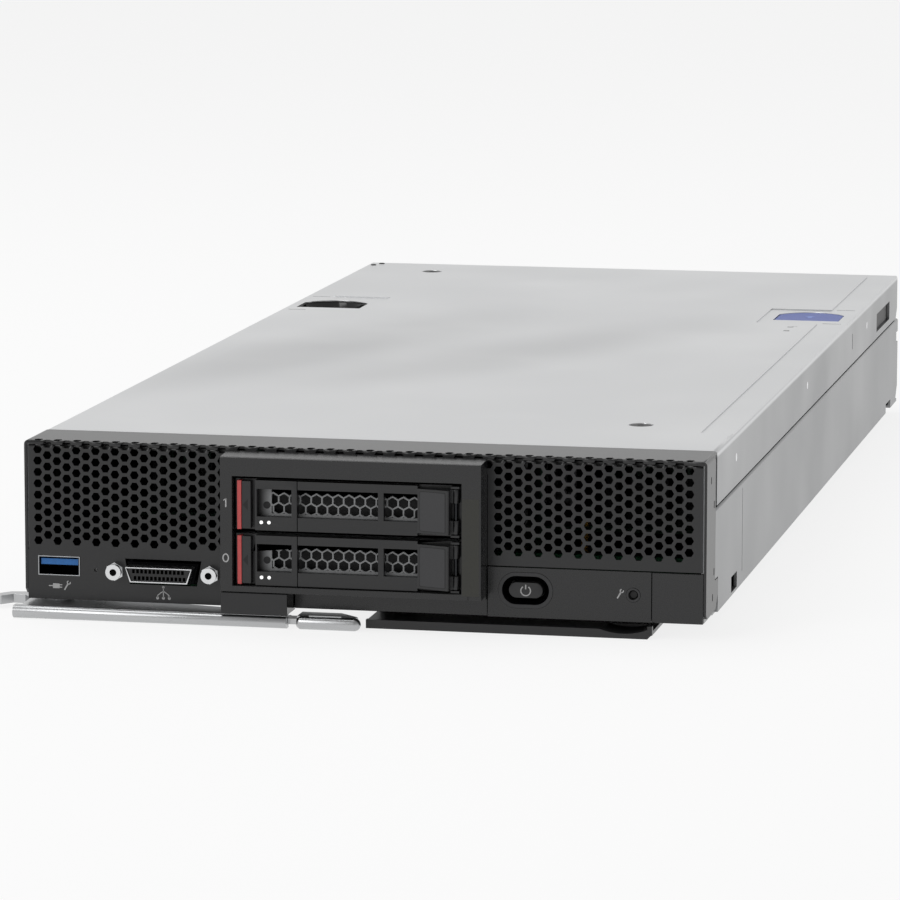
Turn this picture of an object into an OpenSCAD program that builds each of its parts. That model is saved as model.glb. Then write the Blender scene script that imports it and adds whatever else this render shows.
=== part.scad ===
// Half-width blade server node with its cover, drives, handle and pull-out tab.
// Local places are measured from the body's front left corner: x to the right,
// y to the rear from the front panel's face, z up from the underside of the base.

/* [Body] */
// Width of the body over the side walls
body_w = 215.5; // [214:0.5:218]
// Depth of the body from the front panel to the rear edge
body_d = 492.7; // [480:0.1:520]
// Height from the underside to the top of the cover
body_h = 50.45; // [50.2:0.05:51.5]
// Thickness of the steel sheet of the base
sheet_t = 1; // [0.8:0.1:1.2]
// Height of the seam between the base and the cover's skirt
seam_z = 33; // [31:0.5:35]
// Height of the step up of the floor's front part, above the handle and the tab
floor_step = 0.4; // [0.3:0.1:0.6]

/* [Front panel] */
// Thickness of the perforated front sheets
grille_t = 1; // [0.8:0.1:1.2]
// Distance between two holes in one column
hole_pitch = 3.6; // [3.4:0.05:3.8]
// Width of a hole across its flats
hole_flats = 2.5; // [2.2:0.05:2.8]
// Centre of the first column of holes from the left side
first_hole_x = 4.35; // [4.2:0.05:4.8]
// Height of the centre of the top row of holes
first_hole_z = 47.55; // [47:0.05:47.8]
// Depth of the black plate along the front of the top
front_plate_d = 22; // [20:0.5:25]
// Thickness of the black front plate and its cheeks
front_plate_t = 0.8; // [0.6:0.1:1]
// Depth of a cheek above its foot
cheek_d = 17; // [15:0.5:19]
// Height of the control strip at the foot of the right half
control_h = 15.9; // [15.5:0.1:16.5]

/* [Drive bay] */
// Left side of the drive bay frame
bay_x = 65.5; // [65.5:0.1:66.5]
// Width of the drive bay frame
bay_w = 82; // [81.5:0.1:83]
// How far the drive bay frame stands out of the front panel
bay_proud = 10; // [9:0.5:12]
// Height of the frame's lower edge
bay_z = 6.7; // [6.5:0.1:7]
// Height of the frame's upper edge
bay_top = 48.8; // [48.5:0.1:49]
// Width of the frame's left border
bay_border_left = 3.8; // [3.4:0.1:4]
// Width of the drive opening
slot_w = 72.1; // [71.8:0.1:72.6]
// Height of the drive opening's lower edge
slot_z = 8.6; // [8.4:0.1:8.8]
// Height of the drive opening
slot_h = 34.2; // [34:0.1:35]
// Distance from one drive to the next
drive_pitch = 17.2; // [17.1:0.1:17.4]
// Height of a drive carrier's face
carrier_h = 15.8; // [15.4:0.1:16]
// Width of a disk drive
drive_w = 69.85; // [69.5:0.05:70]
// Length of a disk drive
drive_l = 100.3; // [99:0.1:101]
// Thickness of a disk drive
drive_t = 9.5; // [7:0.5:10]

/* [Top cover] */
// Thickness of the cover sheet
cover_t = 1; // [0.8:0.1:1.2]
// How far the cover's skirt lies inside the base's wall
cover_inset = 0.4; // [0.3:0.05:0.6]
// Depth of the step around the cover's raised middle
step_h = 0.35; // [0.2:0.05:0.5]
// Distance that the cover slides to come free
cover_travel = 13; // [10:0.5:15]
// Radius of the studs that guide the cover
stud_r = 1.3; // [1:0.1:1.5]
// Height of the guide studs
stud_z = 42.5; // [41:0.1:44]
// Width of a finger opening in the cover
finger_w = 24.4; // [23:0.1:25]
// Length of a finger opening in the cover
finger_l = 23; // [22:0.1:25]
// Place of the finger openings' front edge
finger_y = 345; // [340:1:350]

/* [Handle and tab] */
// Length of the silver grip
grip_l = 87.6; // [80:0.1:88]
// Height of the grip's rounded front
grip_h = 4; // [3.8:0.1:4.1]
// How far the grip stands in front of the panel
grip_proud = 10; // [9.5:0.5:12]
// Thickness of the lever plate
lever_t = 2.8; // [2.4:0.1:3]
// Length of the sliding catch at the grip's end
catch_l = 20.1; // [19.5:0.1:20.6]
// Travel of the sliding catch
catch_travel = 2; // [1.5:0.1:2.1]
// Distance from the pull-out tab to the body's right side
tab_inset = 16.2; // [14:0.1:20]
// Length of the pull-out tab
tab_l = 95; // [90:1:110]
// Thickness of the pull-out tab
tab_t = 1.2; // [1:0.1:1.4]

/* [Ports and buttons] */
// Inner width of the USB port
usb_w = 12.84; // [12.5:0.02:13]
// Inner height of the USB port
usb_h = 5.5; // [5.2:0.05:5.7]
// Place of the USB port's centre
usb_x = 10.98; // [10.6:0.02:11.5]
// Height of the USB port's centre
usb_z = 10.93; // [10.8:0.01:11.2]
// Place of the console connector's centre
console_x = 44.6; // [44:0.1:45]
// Height of the console connector's centre
console_z = 10; // [9.9:0.05:10.2]
// Distance between the console connector's two screw posts
post_spacing = 30.6; // [30:0.1:31]
// Length of the power button's ring
ring_w = 17; // [16:0.1:18]
// Height of the power button's ring
ring_h = 11.1; // [10.8:0.1:11.4]
// Length of the power button
power_w = 10.6; // [10:0.1:11]
// Height of the power button
power_h = 4.8; // [4.4:0.1:5]

/* [Inside] */
// Height of the system board's underside
board_z = 7; // [6:0.5:8]
// Thickness of the circuit boards
pcb_t = 1.6; // [1.2:0.1:2]
// Number of memory slots on each side of a processor
slots_per_side = 6; // [1:1:6]
// Distance from one memory slot to the next
memory_pitch = 8.4; // [8:0.1:8.6]
// Height of a memory module
module_h = 31.25; // [28:0.05:32]
// Length of a memory module
module_l = 133.35; // [130:0.05:134]
// Thickness of a heat sink's fin
fin_t = 0.8; // [0.6:0.1:1]
// Number of fins on a heat sink
fin_count = 27; // [15:1:29]

/* [Rear] */
// Width of a signal connector
signal_w = 58; // [50:1:60]
// Height of a signal connector
signal_h = 22; // [18:1:23]
// Depth of a signal connector
signal_l = 16; // [12:1:20]
// Width of the power connector
power_plug_w = 43.5; // [40:0.5:60]
// Depth of the power connector
power_plug_l = 30; // [20:1:34]
// Wall around a connector's pocket
pocket_t = 3; // [2:0.5:4]
// Width of an adapter board
adapter_w = 72; // [60:1:74]
// Length of an adapter board
adapter_l = 59; // [50:1:62]

/* [Hidden] */

$fn = 48;
cut = 1;                                  // how far a cut runs past a face
gap = 0.3;                                // clearance beside what slides
pin_gap = 0.02;                           // radial clearance of a pin in its seat
turn_gap = 0.06;                          // radial clearance of a pin in what turns on it

cover_z = body_h - cover_t;               // underside of the cover
flange_top = cover_z - gap;
flange_x = cover_inset + cover_t + gap;   // outer face of the base's inner flange
plate_z = body_h - front_plate_t;         // underside of the black front plate
wall_y = cheek_d + gap;                   // front edge of the base's outer walls
foot_d = 23;                              // depth of a cheek's foot
foot_h = 11;                              // height of a cheek's foot
rear_wall_y = body_d - cover_t - gap - sheet_t;
stud_ys = [62.3, 228, 395];
mesh_left = front_plate_t + 0.5;          // left edge of the perforated sheets
mesh_right = body_w - mesh_left;
lip_h = 1.25;                              // height of the front plate's bent lip
mesh_top = body_h - lip_h - 0.2;           // top of the perforated sheets
mesh_flange = 12;                          // depth of their bent top edge
bend_r = 0.8;                              // outer radius of a bent sheet edge
fold_r = 0.7;                              // outer radius of the base walls' top fold
seam_gap = 0.5;                            // open seam between the base and the cover's skirt
notch_z = first_hole_z + hole_pitch / 2;   // row of holes that cuts the lip
slot_row_y = 1.55;                          // row of holes behind the lip
front_floor = floor_step + sheet_t;        // top of the floor's front part
column_pitch = hole_pitch * cos(30);
last_column = floor((body_w - 2 * first_hole_x) / column_pitch);
bay_end = bay_x + bay_w;
slot_x = bay_x + bay_border_left;
slot_end = slot_x + slot_w;
carrier_z = slot_z + 0.15;                // lower edge of the lower carrier
bay_zs = [carrier_z, carrier_z + drive_pitch];
face_y = 1 - bay_proud;                   // front of the carriers' faces
back_y = face_y + 2.5;                    // front of a carrier's backing frame
backing_t = 3.5;
carrier_x = slot_x + 0.4;
carrier_end = slot_end - 0.4;
window_x = slot_x + 7.2;                  // left edge of a carrier's window
label_x = slot_end - 13.9;                // left edge of a lever's thick end
seam_x = slot_x + 20.3;                   // seam between a carrier's face and its lever
pivot_x = slot_end - 2.1;
pivot_y = face_y + 1;
lever_pin_r = 0.6;
cage_t = 0.8;
cage_l = 112;
cell_pitch = 3.42;
cell_web = 0.45;
usb_t = 0.35;
console_reach = 6;                         // how far the console connector stands out
contact_pitch = 1.31;
post_r = 2.45;
post_reach = 3.4;
reset_x = 22.8;
badge_end = bay_x + 21.1;
port_board_z = 6.1;                       // top of the port board
lever_top = -0.6;                         // upper face of the handle's lever plate
lever_z = lever_top - lever_t;
grip_top = -0.5;
handle_pivot_x = 9;
handle_pivot_y = 9;
handle_pin_r = 2.95;
grip_x = -1.5;
grip_end = grip_x + grip_l;
catch_x = grip_end + catch_travel + 1.2;
catch_top = -0.45;
tongue_end = catch_x + 12;
tab_x = catch_x + catch_l + 0.4;           // left edge of the pull-out tab
tab_end = body_w - tab_inset;
tab_z = -3.3;
tab_y = -2.6;
guide_t = 1.2;
control_x = bay_end + 0.2;
service_x = body_w - 16.7;
power_x = bay_end + 12.05;
power_z = 8.85;
mode_x = service_x - 5.77;
mode_z = 8.7;
mode_r = 2.2;                              // radius of the mode button's ring
ring_rim = 1.1;                            // width of the flat rim of the power button's ring
ring_seat = 2.4;                           // depth of that ring's seat in the panel
left_finger_x = 16.5;
right_finger_x = body_w - 17.1;
latch_pin_r = 0.78;
latch_t = 1.6;
latch_top = body_h - step_h - 0.2;
latch_axis_y = finger_y + gap + latch_t;
latch_axis_z = latch_top - latch_t;
board_top = board_z + pcb_t;
board_y = 120;
rear_face = rear_wall_y + sheet_t + 0.6;   // rear of the connectors
signal_x = 16;
signal_z = 15;
power_plug_h = 16.4;
adapter_z = 20;
adapter_y = rear_face - signal_l - adapter_l;
zone_pitch = module_l + 10.65;
zone_count = floor((adapter_y - board_y) / zone_pitch);
zone_ys = [for (i = [0 : zone_count - 1]) board_y + 76 + i * zone_pitch];
sink_w = 84;
sink_l = 112;
sink_x = (body_w - sink_w) / 2;
memory_x = 9.2;
steel = "#b9bbbd";
black = "#2f3032";
board_green = "#1e5a3c";
light_steel = "#d6d8da";

// ---- shared shapes ----

// Moves a piece from the body's front left corner to the centre of the underside
module place() {
    translate([-body_w / 2, -body_d / 2, 0]) children();
}

// A block between two opposite corners
module block(low, high) {
    translate(low) cube(high - low);
}

// A flat outline in x and z, thick from y0 to y1
module upright(y0, y1) {
    translate([0, y1, 0]) rotate([90, 0, 0]) linear_extrude(y1 - y0) children();
}

// A flat outline in y and z, thick from x0 to x1
module sideways(x0, x1) {
    translate([x0, 0, 0]) rotate([90, 0, 90]) linear_extrude(x1 - x0) children();
}

// A flat outline in x and y, thick from z0 to z1
module flat(z0, z1) {
    translate([0, 0, z0]) linear_extrude(z1 - z0) children();
}

// A round rod along y
module rod_y(x, z, r, y0, y1) {
    translate([x, y0, z]) rotate([-90, 0, 0]) cylinder(r = r, h = y1 - y0);
}

// A round rod along x
module rod_x(y, z, r, x0, x1) {
    translate([x0, y, z]) rotate([0, 90, 0]) cylinder(r = r, h = x1 - x0);
}

// A round rod along z
module rod_z(x, y, r, z0, z1) {
    translate([x, y, z0]) cylinder(r = r, h = z1 - z0);
}

// The same piece on the left side and, mirrored, on the right
module both_sides() {
    children();
    translate([body_w, 0, 0]) mirror([1, 0, 0]) children();
}

// A rectangle with round corners, from its low corner
module round_rect(w, h, r) {
    translate([r, 0]) square([w - 2 * r, h]);
    translate([0, r]) square([w, h - 2 * r]);
    for (x = [r, w - r], y = [r, h - r])
        translate([x, y]) circle(r);
}

// A rectangle with its two top corners round, from its low corner
module round_rect_top(w, h, r) {
    square([w, h - r]);
    translate([r, 0]) square([w - 2 * r, h]);
    for (x = [r, w - r])
        translate([x, h - r]) circle(r);
}

// A stadium about its centre
module stadium(w, h) {
    square([w - h, h], center = true);
    for (s = [-1, 1])
        translate([s * (w - h) / 2, 0]) circle(h / 2);
}

// A finger opening: straight sides and an arched rear, from the middle of its front edge
module finger_outline(w, l, sag) {
    r = (w * w / 4 + sag * sag) / (2 * sag);
    translate([-w / 2, 0]) square([w, l - sag]);
    intersection() {
        translate([0, l - r]) circle(r, $fn = 96);
        translate([-w / 2, l - sag - 0.01]) square([w, sag + 0.01]);
    }
}

// ---- base ----

module cover_guide_slot(y) {
    low_z = stud_z - stud_r - gap;
    high_z = stud_z + stud_r + gap;
    reach = stud_r + gap;
    block([flange_x - cut, y - reach, low_z],
          [flange_x + sheet_t + cut, y + cover_travel + reach, high_z]);
    block([flange_x - cut, y + cover_travel - reach, low_z],
          [flange_x + sheet_t + cut, y + cover_travel + reach, flange_top + cut]);
}

module side_wall() {
    difference() {
        union() {
            block([0, wall_y, 0], [sheet_t, body_d, seam_z]);
            block([0, wall_y, seam_z - sheet_t], [flange_x + sheet_t, body_d, seam_z]);
            block([flange_x, wall_y, seam_z - sheet_t],
                  [flange_x + sheet_t, rear_wall_y, flange_top]);
            block([front_plate_t, grille_t, floor_step],
                  [front_plate_t + sheet_t, foot_d + 2, seam_z]);
            block([front_plate_t, grille_t, seam_z - sheet_t],
                  [flange_x + sheet_t, front_plate_d, flange_top]);
        }
        block([-cut, 0, -cut], [front_plate_t, foot_d + gap, foot_h + gap]);
        block([-cut, 51, 1], [sheet_t + cut, 63, 6]);
        block([-cut, 456, -cut], [sheet_t + cut, 471, 3.5]);
        block([-cut, body_d - 4.5, 24], [sheet_t + cut, body_d + cut, 28]);
        block([-cut, 73.5, 4], [0.4, 74.1, seam_z - 2]);
        difference() {
            block([-cut, 0, seam_z - fold_r], [fold_r, body_d + cut, seam_z + cut]);
            rod_y(fold_r, seam_z - fold_r, fold_r, -cut, body_d + 2 * cut);
        }
        translate([-cut, body_d, 0]) rotate([45, 0, 0])
            cube([sheet_t + 2 * cut, 9, 9], center = true);
        for (y = stud_ys)
            cover_guide_slot(y);
    }
}

module base_tray() {
    color(steel) place() difference() {
        union() {
            block([front_plate_t + sheet_t, grille_t, floor_step],
                  [body_w - front_plate_t - sheet_t, cage_l + sheet_t, front_floor]);
            block([front_plate_t + sheet_t, cage_l, 0],
                  [body_w - front_plate_t - sheet_t, rear_wall_y + sheet_t, sheet_t]);
            both_sides() side_wall();
            both_sides() block([0, wall_y + 8, 0], [5, rear_wall_y + sheet_t, sheet_t]);
            block([flange_x, rear_wall_y, 0],
                  [body_w - flange_x, rear_wall_y + sheet_t, flange_top]);
        }
        both_sides() block([-cut, 456, -cut], [sheet_t + cut, 471, 3.5]);
        both_sides() block([signal_x - 2, rear_wall_y - cut, signal_z - 1],
                           [signal_x + signal_w + 2, body_d, signal_z + signal_h + 1]);
        block([(body_w - power_plug_w) / 2 - 2, rear_wall_y - cut, board_top - 0.2],
              [(body_w + power_plug_w) / 2 + 2, body_d, board_top + power_plug_h + 0.4]);
        rod_z(handle_pivot_x, handle_pivot_y, handle_pin_r + pin_gap, -cut, front_floor + cut);
    }
}

// ---- front ----

module front_shroud() {
    cheek = [[0, 3.4], [1.8, 1.7], [foot_d - 4, 1.7], [foot_d, 5.5], [foot_d, foot_h - 1],
             [foot_d - 1, foot_h], [cheek_d, foot_h], [cheek_d, body_h - 2], [cheek_d - 2, body_h],
             [0, body_h]];
    snaps = [[8.6, 43.4], [14.4, 35.1], [14.9, 14.1], [12.7, 6.4]];
    color(black) place() difference() {
        intersection() {
            union() {
                sideways(0.4, body_w - 0.4)
                    bent_lip(body_h - lip_h, body_h, bend_r, front_plate_d, front_plate_t);
                both_sides() sideways(0, front_plate_t) polygon(cheek);
            }
            upright(-cut, body_d) round_rect_top(body_w, body_h, 1.4);
        }
        both_sides() for (p = snaps)
            block([-cut, p[0] - 0.6, p[1] - 1.1], [front_plate_t + cut, p[0] + 0.6, p[1] + 1.1]);
        for (i = [0 : last_column])
            if (i % 2 == 1)
                upright(-cut, 1.3) translate([first_hole_x + i * column_pitch, notch_z]) hole();
            else
                flat(plate_z - cut, body_h + cut)
                    translate([first_hole_x + i * column_pitch, slot_row_y]) hole();
    }
}

// A sheet with its top edge bent to the rear: outline in y and z
module bent_lip(low_z, high_z, bend_r, run, sheet) {
    difference() {
        translate([0, low_z]) square([run, high_z - low_z]);
        translate([sheet, low_z - cut]) square([run, high_z - sheet - low_z + cut]);
        difference() {
            translate([-cut, high_z - bend_r]) square([bend_r + cut, bend_r + cut]);
            translate([bend_r, high_z - bend_r]) circle(bend_r);
        }
    }
}

// One hexagonal hole
module hole() {
    circle(hole_flats / 2 / cos(30), $fn = 6);
}

// Hexagonal holes on one lattice over the whole front, kept within the given limits
module hole_field(x0, x1, low_z, top_row) {
    r = hole_flats / 2 / cos(30);
    for (i = [0 : last_column]) {
        x = first_hole_x + i * column_pitch;
        odd = i % 2;
        if (x > x0 + r - 0.2 && x < x1 - r + 0.2)
            for (k = [(odd == 1 && top_row) ? -1 : 0 : 12]) {
                z = first_hole_z - (k + odd / 2) * hole_pitch;
                if (z > low_z + hole_flats / 2)
                    translate([x, z]) hole();
            }
    }
}

module left_grille() {
    color(black) place() difference() {
        union() {
            sideways(mesh_left, bay_x + 2.8)
                bent_lip(gap, mesh_top, bend_r, mesh_flange, grille_t);
            block([front_plate_t + 0.1, 0, gap], [mesh_left + 0.1, grille_t, control_h]);
        }
        upright(-cut, 2.6) hole_field(mesh_left + 1, bay_x - 0.1, 16.9, true);
        upright(-cut, 2.6) translate([usb_x - usb_w / 2 - usb_t, usb_z - usb_h / 2 - usb_t])
            square([usb_w + 2 * usb_t, usb_h + 2 * usb_t]);
        upright(-cut, 2.6) translate([console_x, console_z]) console_outline(1.6);
        for (s = [-1, 1])
            rod_y(console_x + s * post_spacing / 2, console_z, 1.6, -cut, 2.6);
        rod_y(reset_x, usb_z - 1, 0.5, -cut, 2.6);
        block([bay_x - 0.1, -cut, -cut], [bay_x + 4, 2.6, bay_z]);
        block([bay_x - 0.1, -cut, slot_z - 1], [bay_x + 4, mesh_flange + cut, slot_z + slot_h + 1.4]);
        block([0, grille_t, 0], [flange_x + sheet_t + 0.1, mesh_flange + cut, body_h]);
    }
}
module right_grille() {
    color(black) place() difference() {
        sideways(bay_end - 5, mesh_right)
            bent_lip(control_h + gap, mesh_top, bend_r, mesh_flange, grille_t);
        upright(-cut, 2.6) hole_field(bay_end - 2.5, bay_end + 2, first_hole_z - 2, false);
        upright(-cut, 2.6) hole_field(bay_end + 1.5, mesh_right - 1, 19, true);
        block([bay_end - 6, -cut, 0], [bay_end + 0.1, mesh_flange + cut, slot_z + slot_h + 1.4]);
        block([body_w - flange_x - sheet_t - 0.1, grille_t, 0], [body_w, mesh_flange + cut, body_h]);
    }
}

module drive_bay_frame() {
    color(black) place() difference() {
        union() {
            block([bay_x, -bay_proud, bay_z], [bay_end, 0, bay_top - 0.2]);
            sideways(bay_x, bay_end)
                polygon([[-bay_proud + 0.3, bay_top - 0.3], [-bay_proud + 0.6, bay_top],
                         [0, bay_top + 0.5], [0, bay_top - 0.3]]);
            block([badge_end + 0.2, -0.4, 0.5], [bay_end, grille_t, bay_z + 1]);
            block([badge_end + 0.2, -2.4, bay_z - 1], [bay_end, 0, bay_z]);
        }
        block([slot_x, -bay_proud - cut, slot_z], [slot_end, 5, slot_z + slot_h]);
        block([bay_end - 4.1, -bay_proud - cut, bay_z - cut],
              [bay_end + cut, -bay_proud + 0.5, bay_z + 1.4]);
    }
}
module badge_block() {
    color("#1c1c1e") place() block([bay_x, -bay_proud, -0.2], [badge_end, grille_t, bay_z - 0.2]);
}

module control_panel() {
    color(black) place() difference() {
        union() {
            block([control_x, -0.4, gap], [service_x - 0.2, grille_t, control_h]);
            block([control_x, grille_t, front_floor], [service_x - 0.2, 3.6, control_h]);
        }
        upright(-cut, ring_seat + pin_gap) translate([power_x, power_z])
            stadium(ring_w + 2 * pin_gap, ring_h + 2 * pin_gap);
        upright(-cut, 3.6 + cut) translate([power_x, power_z])
            stadium(power_w + 2 * gap, power_h + 2 * gap);
        rod_y(mode_x, mode_z, mode_r + pin_gap, -cut, 0.6 + pin_gap);
        rod_y(mode_x, mode_z, 1.1 + gap, -cut, 3.6 + cut);
    }
}

module service_plate() {
    color("#3a3a3c") place()
        block([service_x, -0.35, gap], [body_w - front_plate_t - 0.1, grille_t, control_h - 0.1]);
}

// The power button's ring, with an inner wall that slopes in to the button
module power_ring() {
    thin = 0.01;
    color("#5c5e60") place() translate([power_x, 0, power_z]) difference() {
        upright(-0.6, ring_seat) stadium(ring_w, ring_h);
        hull() {
            upright(-0.6 - thin, -0.6) stadium(ring_w - 2 * ring_rim, ring_h - 2 * ring_rim);
            upright(ring_seat, ring_seat + thin) stadium(power_w + 2 * gap, power_h + 2 * gap);
        }
    }
}

module power_button() {
    color(black) place() {
        upright(-0.2, 5) translate([power_x, power_z]) stadium(power_w, power_h);
        upright(4.2, 5) translate([power_x, power_z]) stadium(power_w + 1.6, power_h + 1.6);
    }
}

module mode_button_ring() {
    color("#5c5e60") place() upright(-0.6, 0.6) translate([mode_x, mode_z]) difference() {
        circle(mode_r);
        circle(1.2 + gap);
    }
}

module mode_button() {
    color(black) place() {
        rod_y(mode_x, mode_z, 1.1, 0.4, 5);
        rod_y(mode_x, mode_z, 1.9, 4.2, 5);
    }
}

// Board that carries the switches of the two buttons and stands behind the control panel
module control_board() {
    color(board_green) place() {
        block([control_x + 1, 8.4, front_floor], [service_x + 12, 8.4 + pcb_t, control_h + 3]);
        block([power_x - 3, 6.4, power_z - 3], [power_x + 3, 8.4, power_z + 3]);
        block([mode_x - 2, 6.4, mode_z - 2], [mode_x + 2, 8.4, mode_z + 2]);
    }
}

// ---- ports ----

module usb_port() {
    outer_w = usb_w + 2 * usb_t;
    outer_h = usb_h + 2 * usb_t;
    color(light_steel) place() translate([usb_x, 0, usb_z]) {
        difference() {
            block([-outer_w / 2, -0.3, -outer_h / 2], [outer_w / 2, 14, outer_h / 2]);
            block([-usb_w / 2, -cut, -usb_h / 2], [usb_w / 2, 12, usb_h / 2]);
        }
        for (s = [-1, 1])
            block([s * outer_w / 2 - usb_t, 3, port_board_z - usb_z],
                  [s * outer_w / 2 + usb_t, 12, -outer_h / 2]);
    }
}

module usb_tongue() {
    color("#1f6cb0") place() translate([usb_x, 0, usb_z]) {
        block([-usb_w / 2 + 0.4, 0.6, 0.25], [usb_w / 2 - 0.4, 12, 2.1]);
    }
}

// The trapezium of a console connector about its centre, grown by a margin
module console_outline(grow) {
    polygon([[-10.7 - grow, 2.4 + grow], [10.7 + grow, 2.4 + grow],
             [9.2 + grow, -2.4 - grow], [-9.2 - grow, -2.4 - grow]]);
}

module console_connector() {
    color(light_steel) place() difference() {
        union() {
            upright(-console_reach, 4) translate([console_x, console_z]) console_outline(0);
            upright(-0.6, 0) translate([console_x, console_z]) console_outline(0.8);
            upright(2.7, 12) translate([console_x - 13, port_board_z]) square([26, 7.6]);
        }
        upright(-console_reach - cut, 10) translate([console_x, console_z]) console_outline(-0.4);
    }
}

// Places of the contacts across and up from the connector's centre
function contact_places() = [for (i = [-6 : 6], s = [-1, 1]) [i * contact_pitch - 0.25 * s, s * 1.05]];

module console_insert() {
    color("#141415") place() difference() {
        upright(0.6 - console_reach, 10) translate([console_x, console_z]) console_outline(-0.45);
        for (p = contact_places())
            translate([console_x + p[0], -console_reach, console_z + p[1]])
                block([-0.44, -cut, -0.62], [0.44, 4, 0.62]);
    }
}

module console_contacts() {
    color("gold") place() for (p = contact_places())
        translate([console_x + p[0], 0, console_z + p[1]])
            block([-0.2, 3 - console_reach, -0.2], [0.2, 4 - console_reach, 0.2]);
}

// Two round posts, each in front of a hexagonal nut
module console_posts() {
    color(light_steel) place() for (s = [-1, 1])
        translate([console_x + s * post_spacing / 2, 0, console_z]) difference() {
            union() {
                rod_y(0, 0, post_r, -post_reach, 0);
                rotate([90, 30, 0]) cylinder(r = post_r + 0.45, h = 1.6, $fn = 6);
                rod_y(0, 0, 1.5, 0, 6);
            }
            rod_y(0, 0, 1.1, -post_reach - cut, 5);
        }
}

module reset_button() {
    color("#9a3030") place() rod_y(reset_x, usb_z - 1, 1, 1.7, 5.2);
}

module port_board() {
    color(board_green) place() difference() {
        union() {
            block([4, 2.6, port_board_z - pcb_t], [63, 44, port_board_z]);
            block([reset_x - 2, 4, port_board_z], [reset_x + 2, 8, usb_z + 1.4]);
            for (x = [7, 60], y = [22, 40])
                rod_z(x, y, 2.2, front_floor, port_board_z - pcb_t);
        }
        rod_y(reset_x, usb_z - 1, 1 + gap, 3, 6.4);
    }
}

// ---- drives ----

module drive_cage() {
    x0 = slot_x - 0.5 - cage_t;
    x1 = slot_end + 0.5 + cage_t;
    floor_z = carrier_z - gap;
    top_z = slot_z + slot_h + 0.4;
    color(steel) place() {
        difference() {
            block([x0, grille_t, floor_z - cage_t], [x1, cage_l, top_z + cage_t]);
            block([x0 + cage_t, -cut, floor_z], [x1 - cage_t, cage_l + cut, top_z]);
            for (z = [slot_z + slot_h * 0.25, slot_z + slot_h * 0.75])
                block([x0 - cut, 24, z - 3], [x1 + cut, 90, z + 3]);
        }
        block([x0 + cage_t, grille_t, bay_zs[1] - 1], [x1 - cage_t, cage_l, bay_zs[1] - gap]);
        for (x = [x0 + 3, x1 - 9])
            block([x, 10, front_floor], [x + 6, cage_l - 6, floor_z - cage_t]);
    }
}

module drive_backplane() {
    color(board_green) place() {
        block([slot_x - 2, cage_l, 2], [slot_end + 2, cage_l + pcb_t, slot_z + slot_h]);
        for (z = bay_zs)
            block([slot_x + 15, drive_l + 4.5, z + 2.5], [slot_x + 57, cage_l, z + 8.5]);
    }
}

// A carrier: backing frame, fixed left face, pivot ears and two rails under the drive
module carrier(z) {
    color(black) place() translate([0, 0, z]) {
        difference() {
            block([carrier_x, back_y, 0], [carrier_end, back_y + backing_t, carrier_h]);
            block([window_x, back_y - cut, 4.2], [label_x + 1, back_y + backing_t + cut, 13.3]);
            block([carrier_x + 1.6, back_y - cut, carrier_h / 2 - 2.3],
                  [carrier_x + 5.3, back_y + backing_t + cut, carrier_h / 2 + 2.3]);
        }
        difference() {
            block([window_x - 0.1, face_y, 0.1], [seam_x, back_y, carrier_h - 0.1]);
            block([window_x + 0.4, face_y - cut, 4.4], [seam_x - 1.7, back_y + cut, 13]);
            for (i = [0, 1])
                rod_y(window_x + 1.85 + i * 2.4, 2.6, 0.55 + pin_gap, face_y - cut, face_y + 1);
        }
        for (e = [[0, 0.7], [carrier_h - 0.7, carrier_h]])
            difference() {
                block([pivot_x - 1.4, pivot_y - 1.3, e[0]], [pivot_x + 1.3, back_y, e[1]]);
                rod_z(pivot_x, pivot_y, lever_pin_r + pin_gap, e[0] - cut, e[1] + cut);
            }
        for (x = [carrier_x, carrier_end - 0.7])
            block([x, back_y + backing_t, 0], [x + 0.7, drive_l + 3.5, 12.5]);
        for (x = [carrier_x, carrier_end - 5])
            block([x, back_y + backing_t, 0], [x + 5, drive_l + 3.5, 0.8]);
    }
}
module lower_carrier() { carrier(bay_zs[0]); }
module upper_carrier() { carrier(bay_zs[1]); }

// A drive lies on its carrier's rails; its rear edge has a notch for the connector
module drive(z) {
    x0 = (slot_x + slot_end - drive_w) / 2;
    y0 = back_y + backing_t + 1.2;
    color("#8e9296") place() translate([0, 0, z + 0.8]) difference() {
        flat(0, drive_t) translate([x0, y0]) round_rect(drive_w, drive_l, 2);
        block([x0 + 13, y0 + drive_l - 3, 1.4], [x0 + 57, y0 + drive_l + cut, 8]);
        block([x0 + 5, y0 + 6, drive_t - 0.4], [x0 + drive_w - 5, y0 + drive_l - 22, drive_t + cut]);
    }
}
module lower_drive() { drive(bay_zs[0]); }
module upper_drive() { drive(bay_zs[1]); }

// Honeycomb of two rows behind a carrier's window, with a lower rail
module honeycomb(z) {
    r = (cell_pitch - cell_web) / 2 / cos(30);
    outer_r = (cell_pitch + cell_web) / 2 / cos(30);
    row_z = 9.5;
    first_x = window_x + 8.35;
    count = floor((label_x - first_x) / cell_pitch);
    module cells(radius) {
        for (row = [0, 1], i = [row - 1 : count])
            translate([first_x + (i - row / 2) * cell_pitch, row_z - row * cell_pitch * cos(30)])
                rotate(30) circle(radius, $fn = 6);
    }
    color("#a8a9aa") place() translate([0, 0, z]) upright(back_y + 0.5, back_y + 1.3)
        intersection() {
            union() {
                difference() {
                    cells(outer_r);
                    cells(r);
                }
                translate([window_x, 4.2]) square([label_x - window_x, 0.8]);
                translate([window_x, 4.2]) square([4.4, 9.1]);
            }
            translate([window_x, 4.2]) square([label_x + 1 - window_x, 9.1]);
        }
}
module lower_grille() { honeycomb(bay_zs[0]); }
module upper_grille() { honeycomb(bay_zs[1]); }

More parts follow.
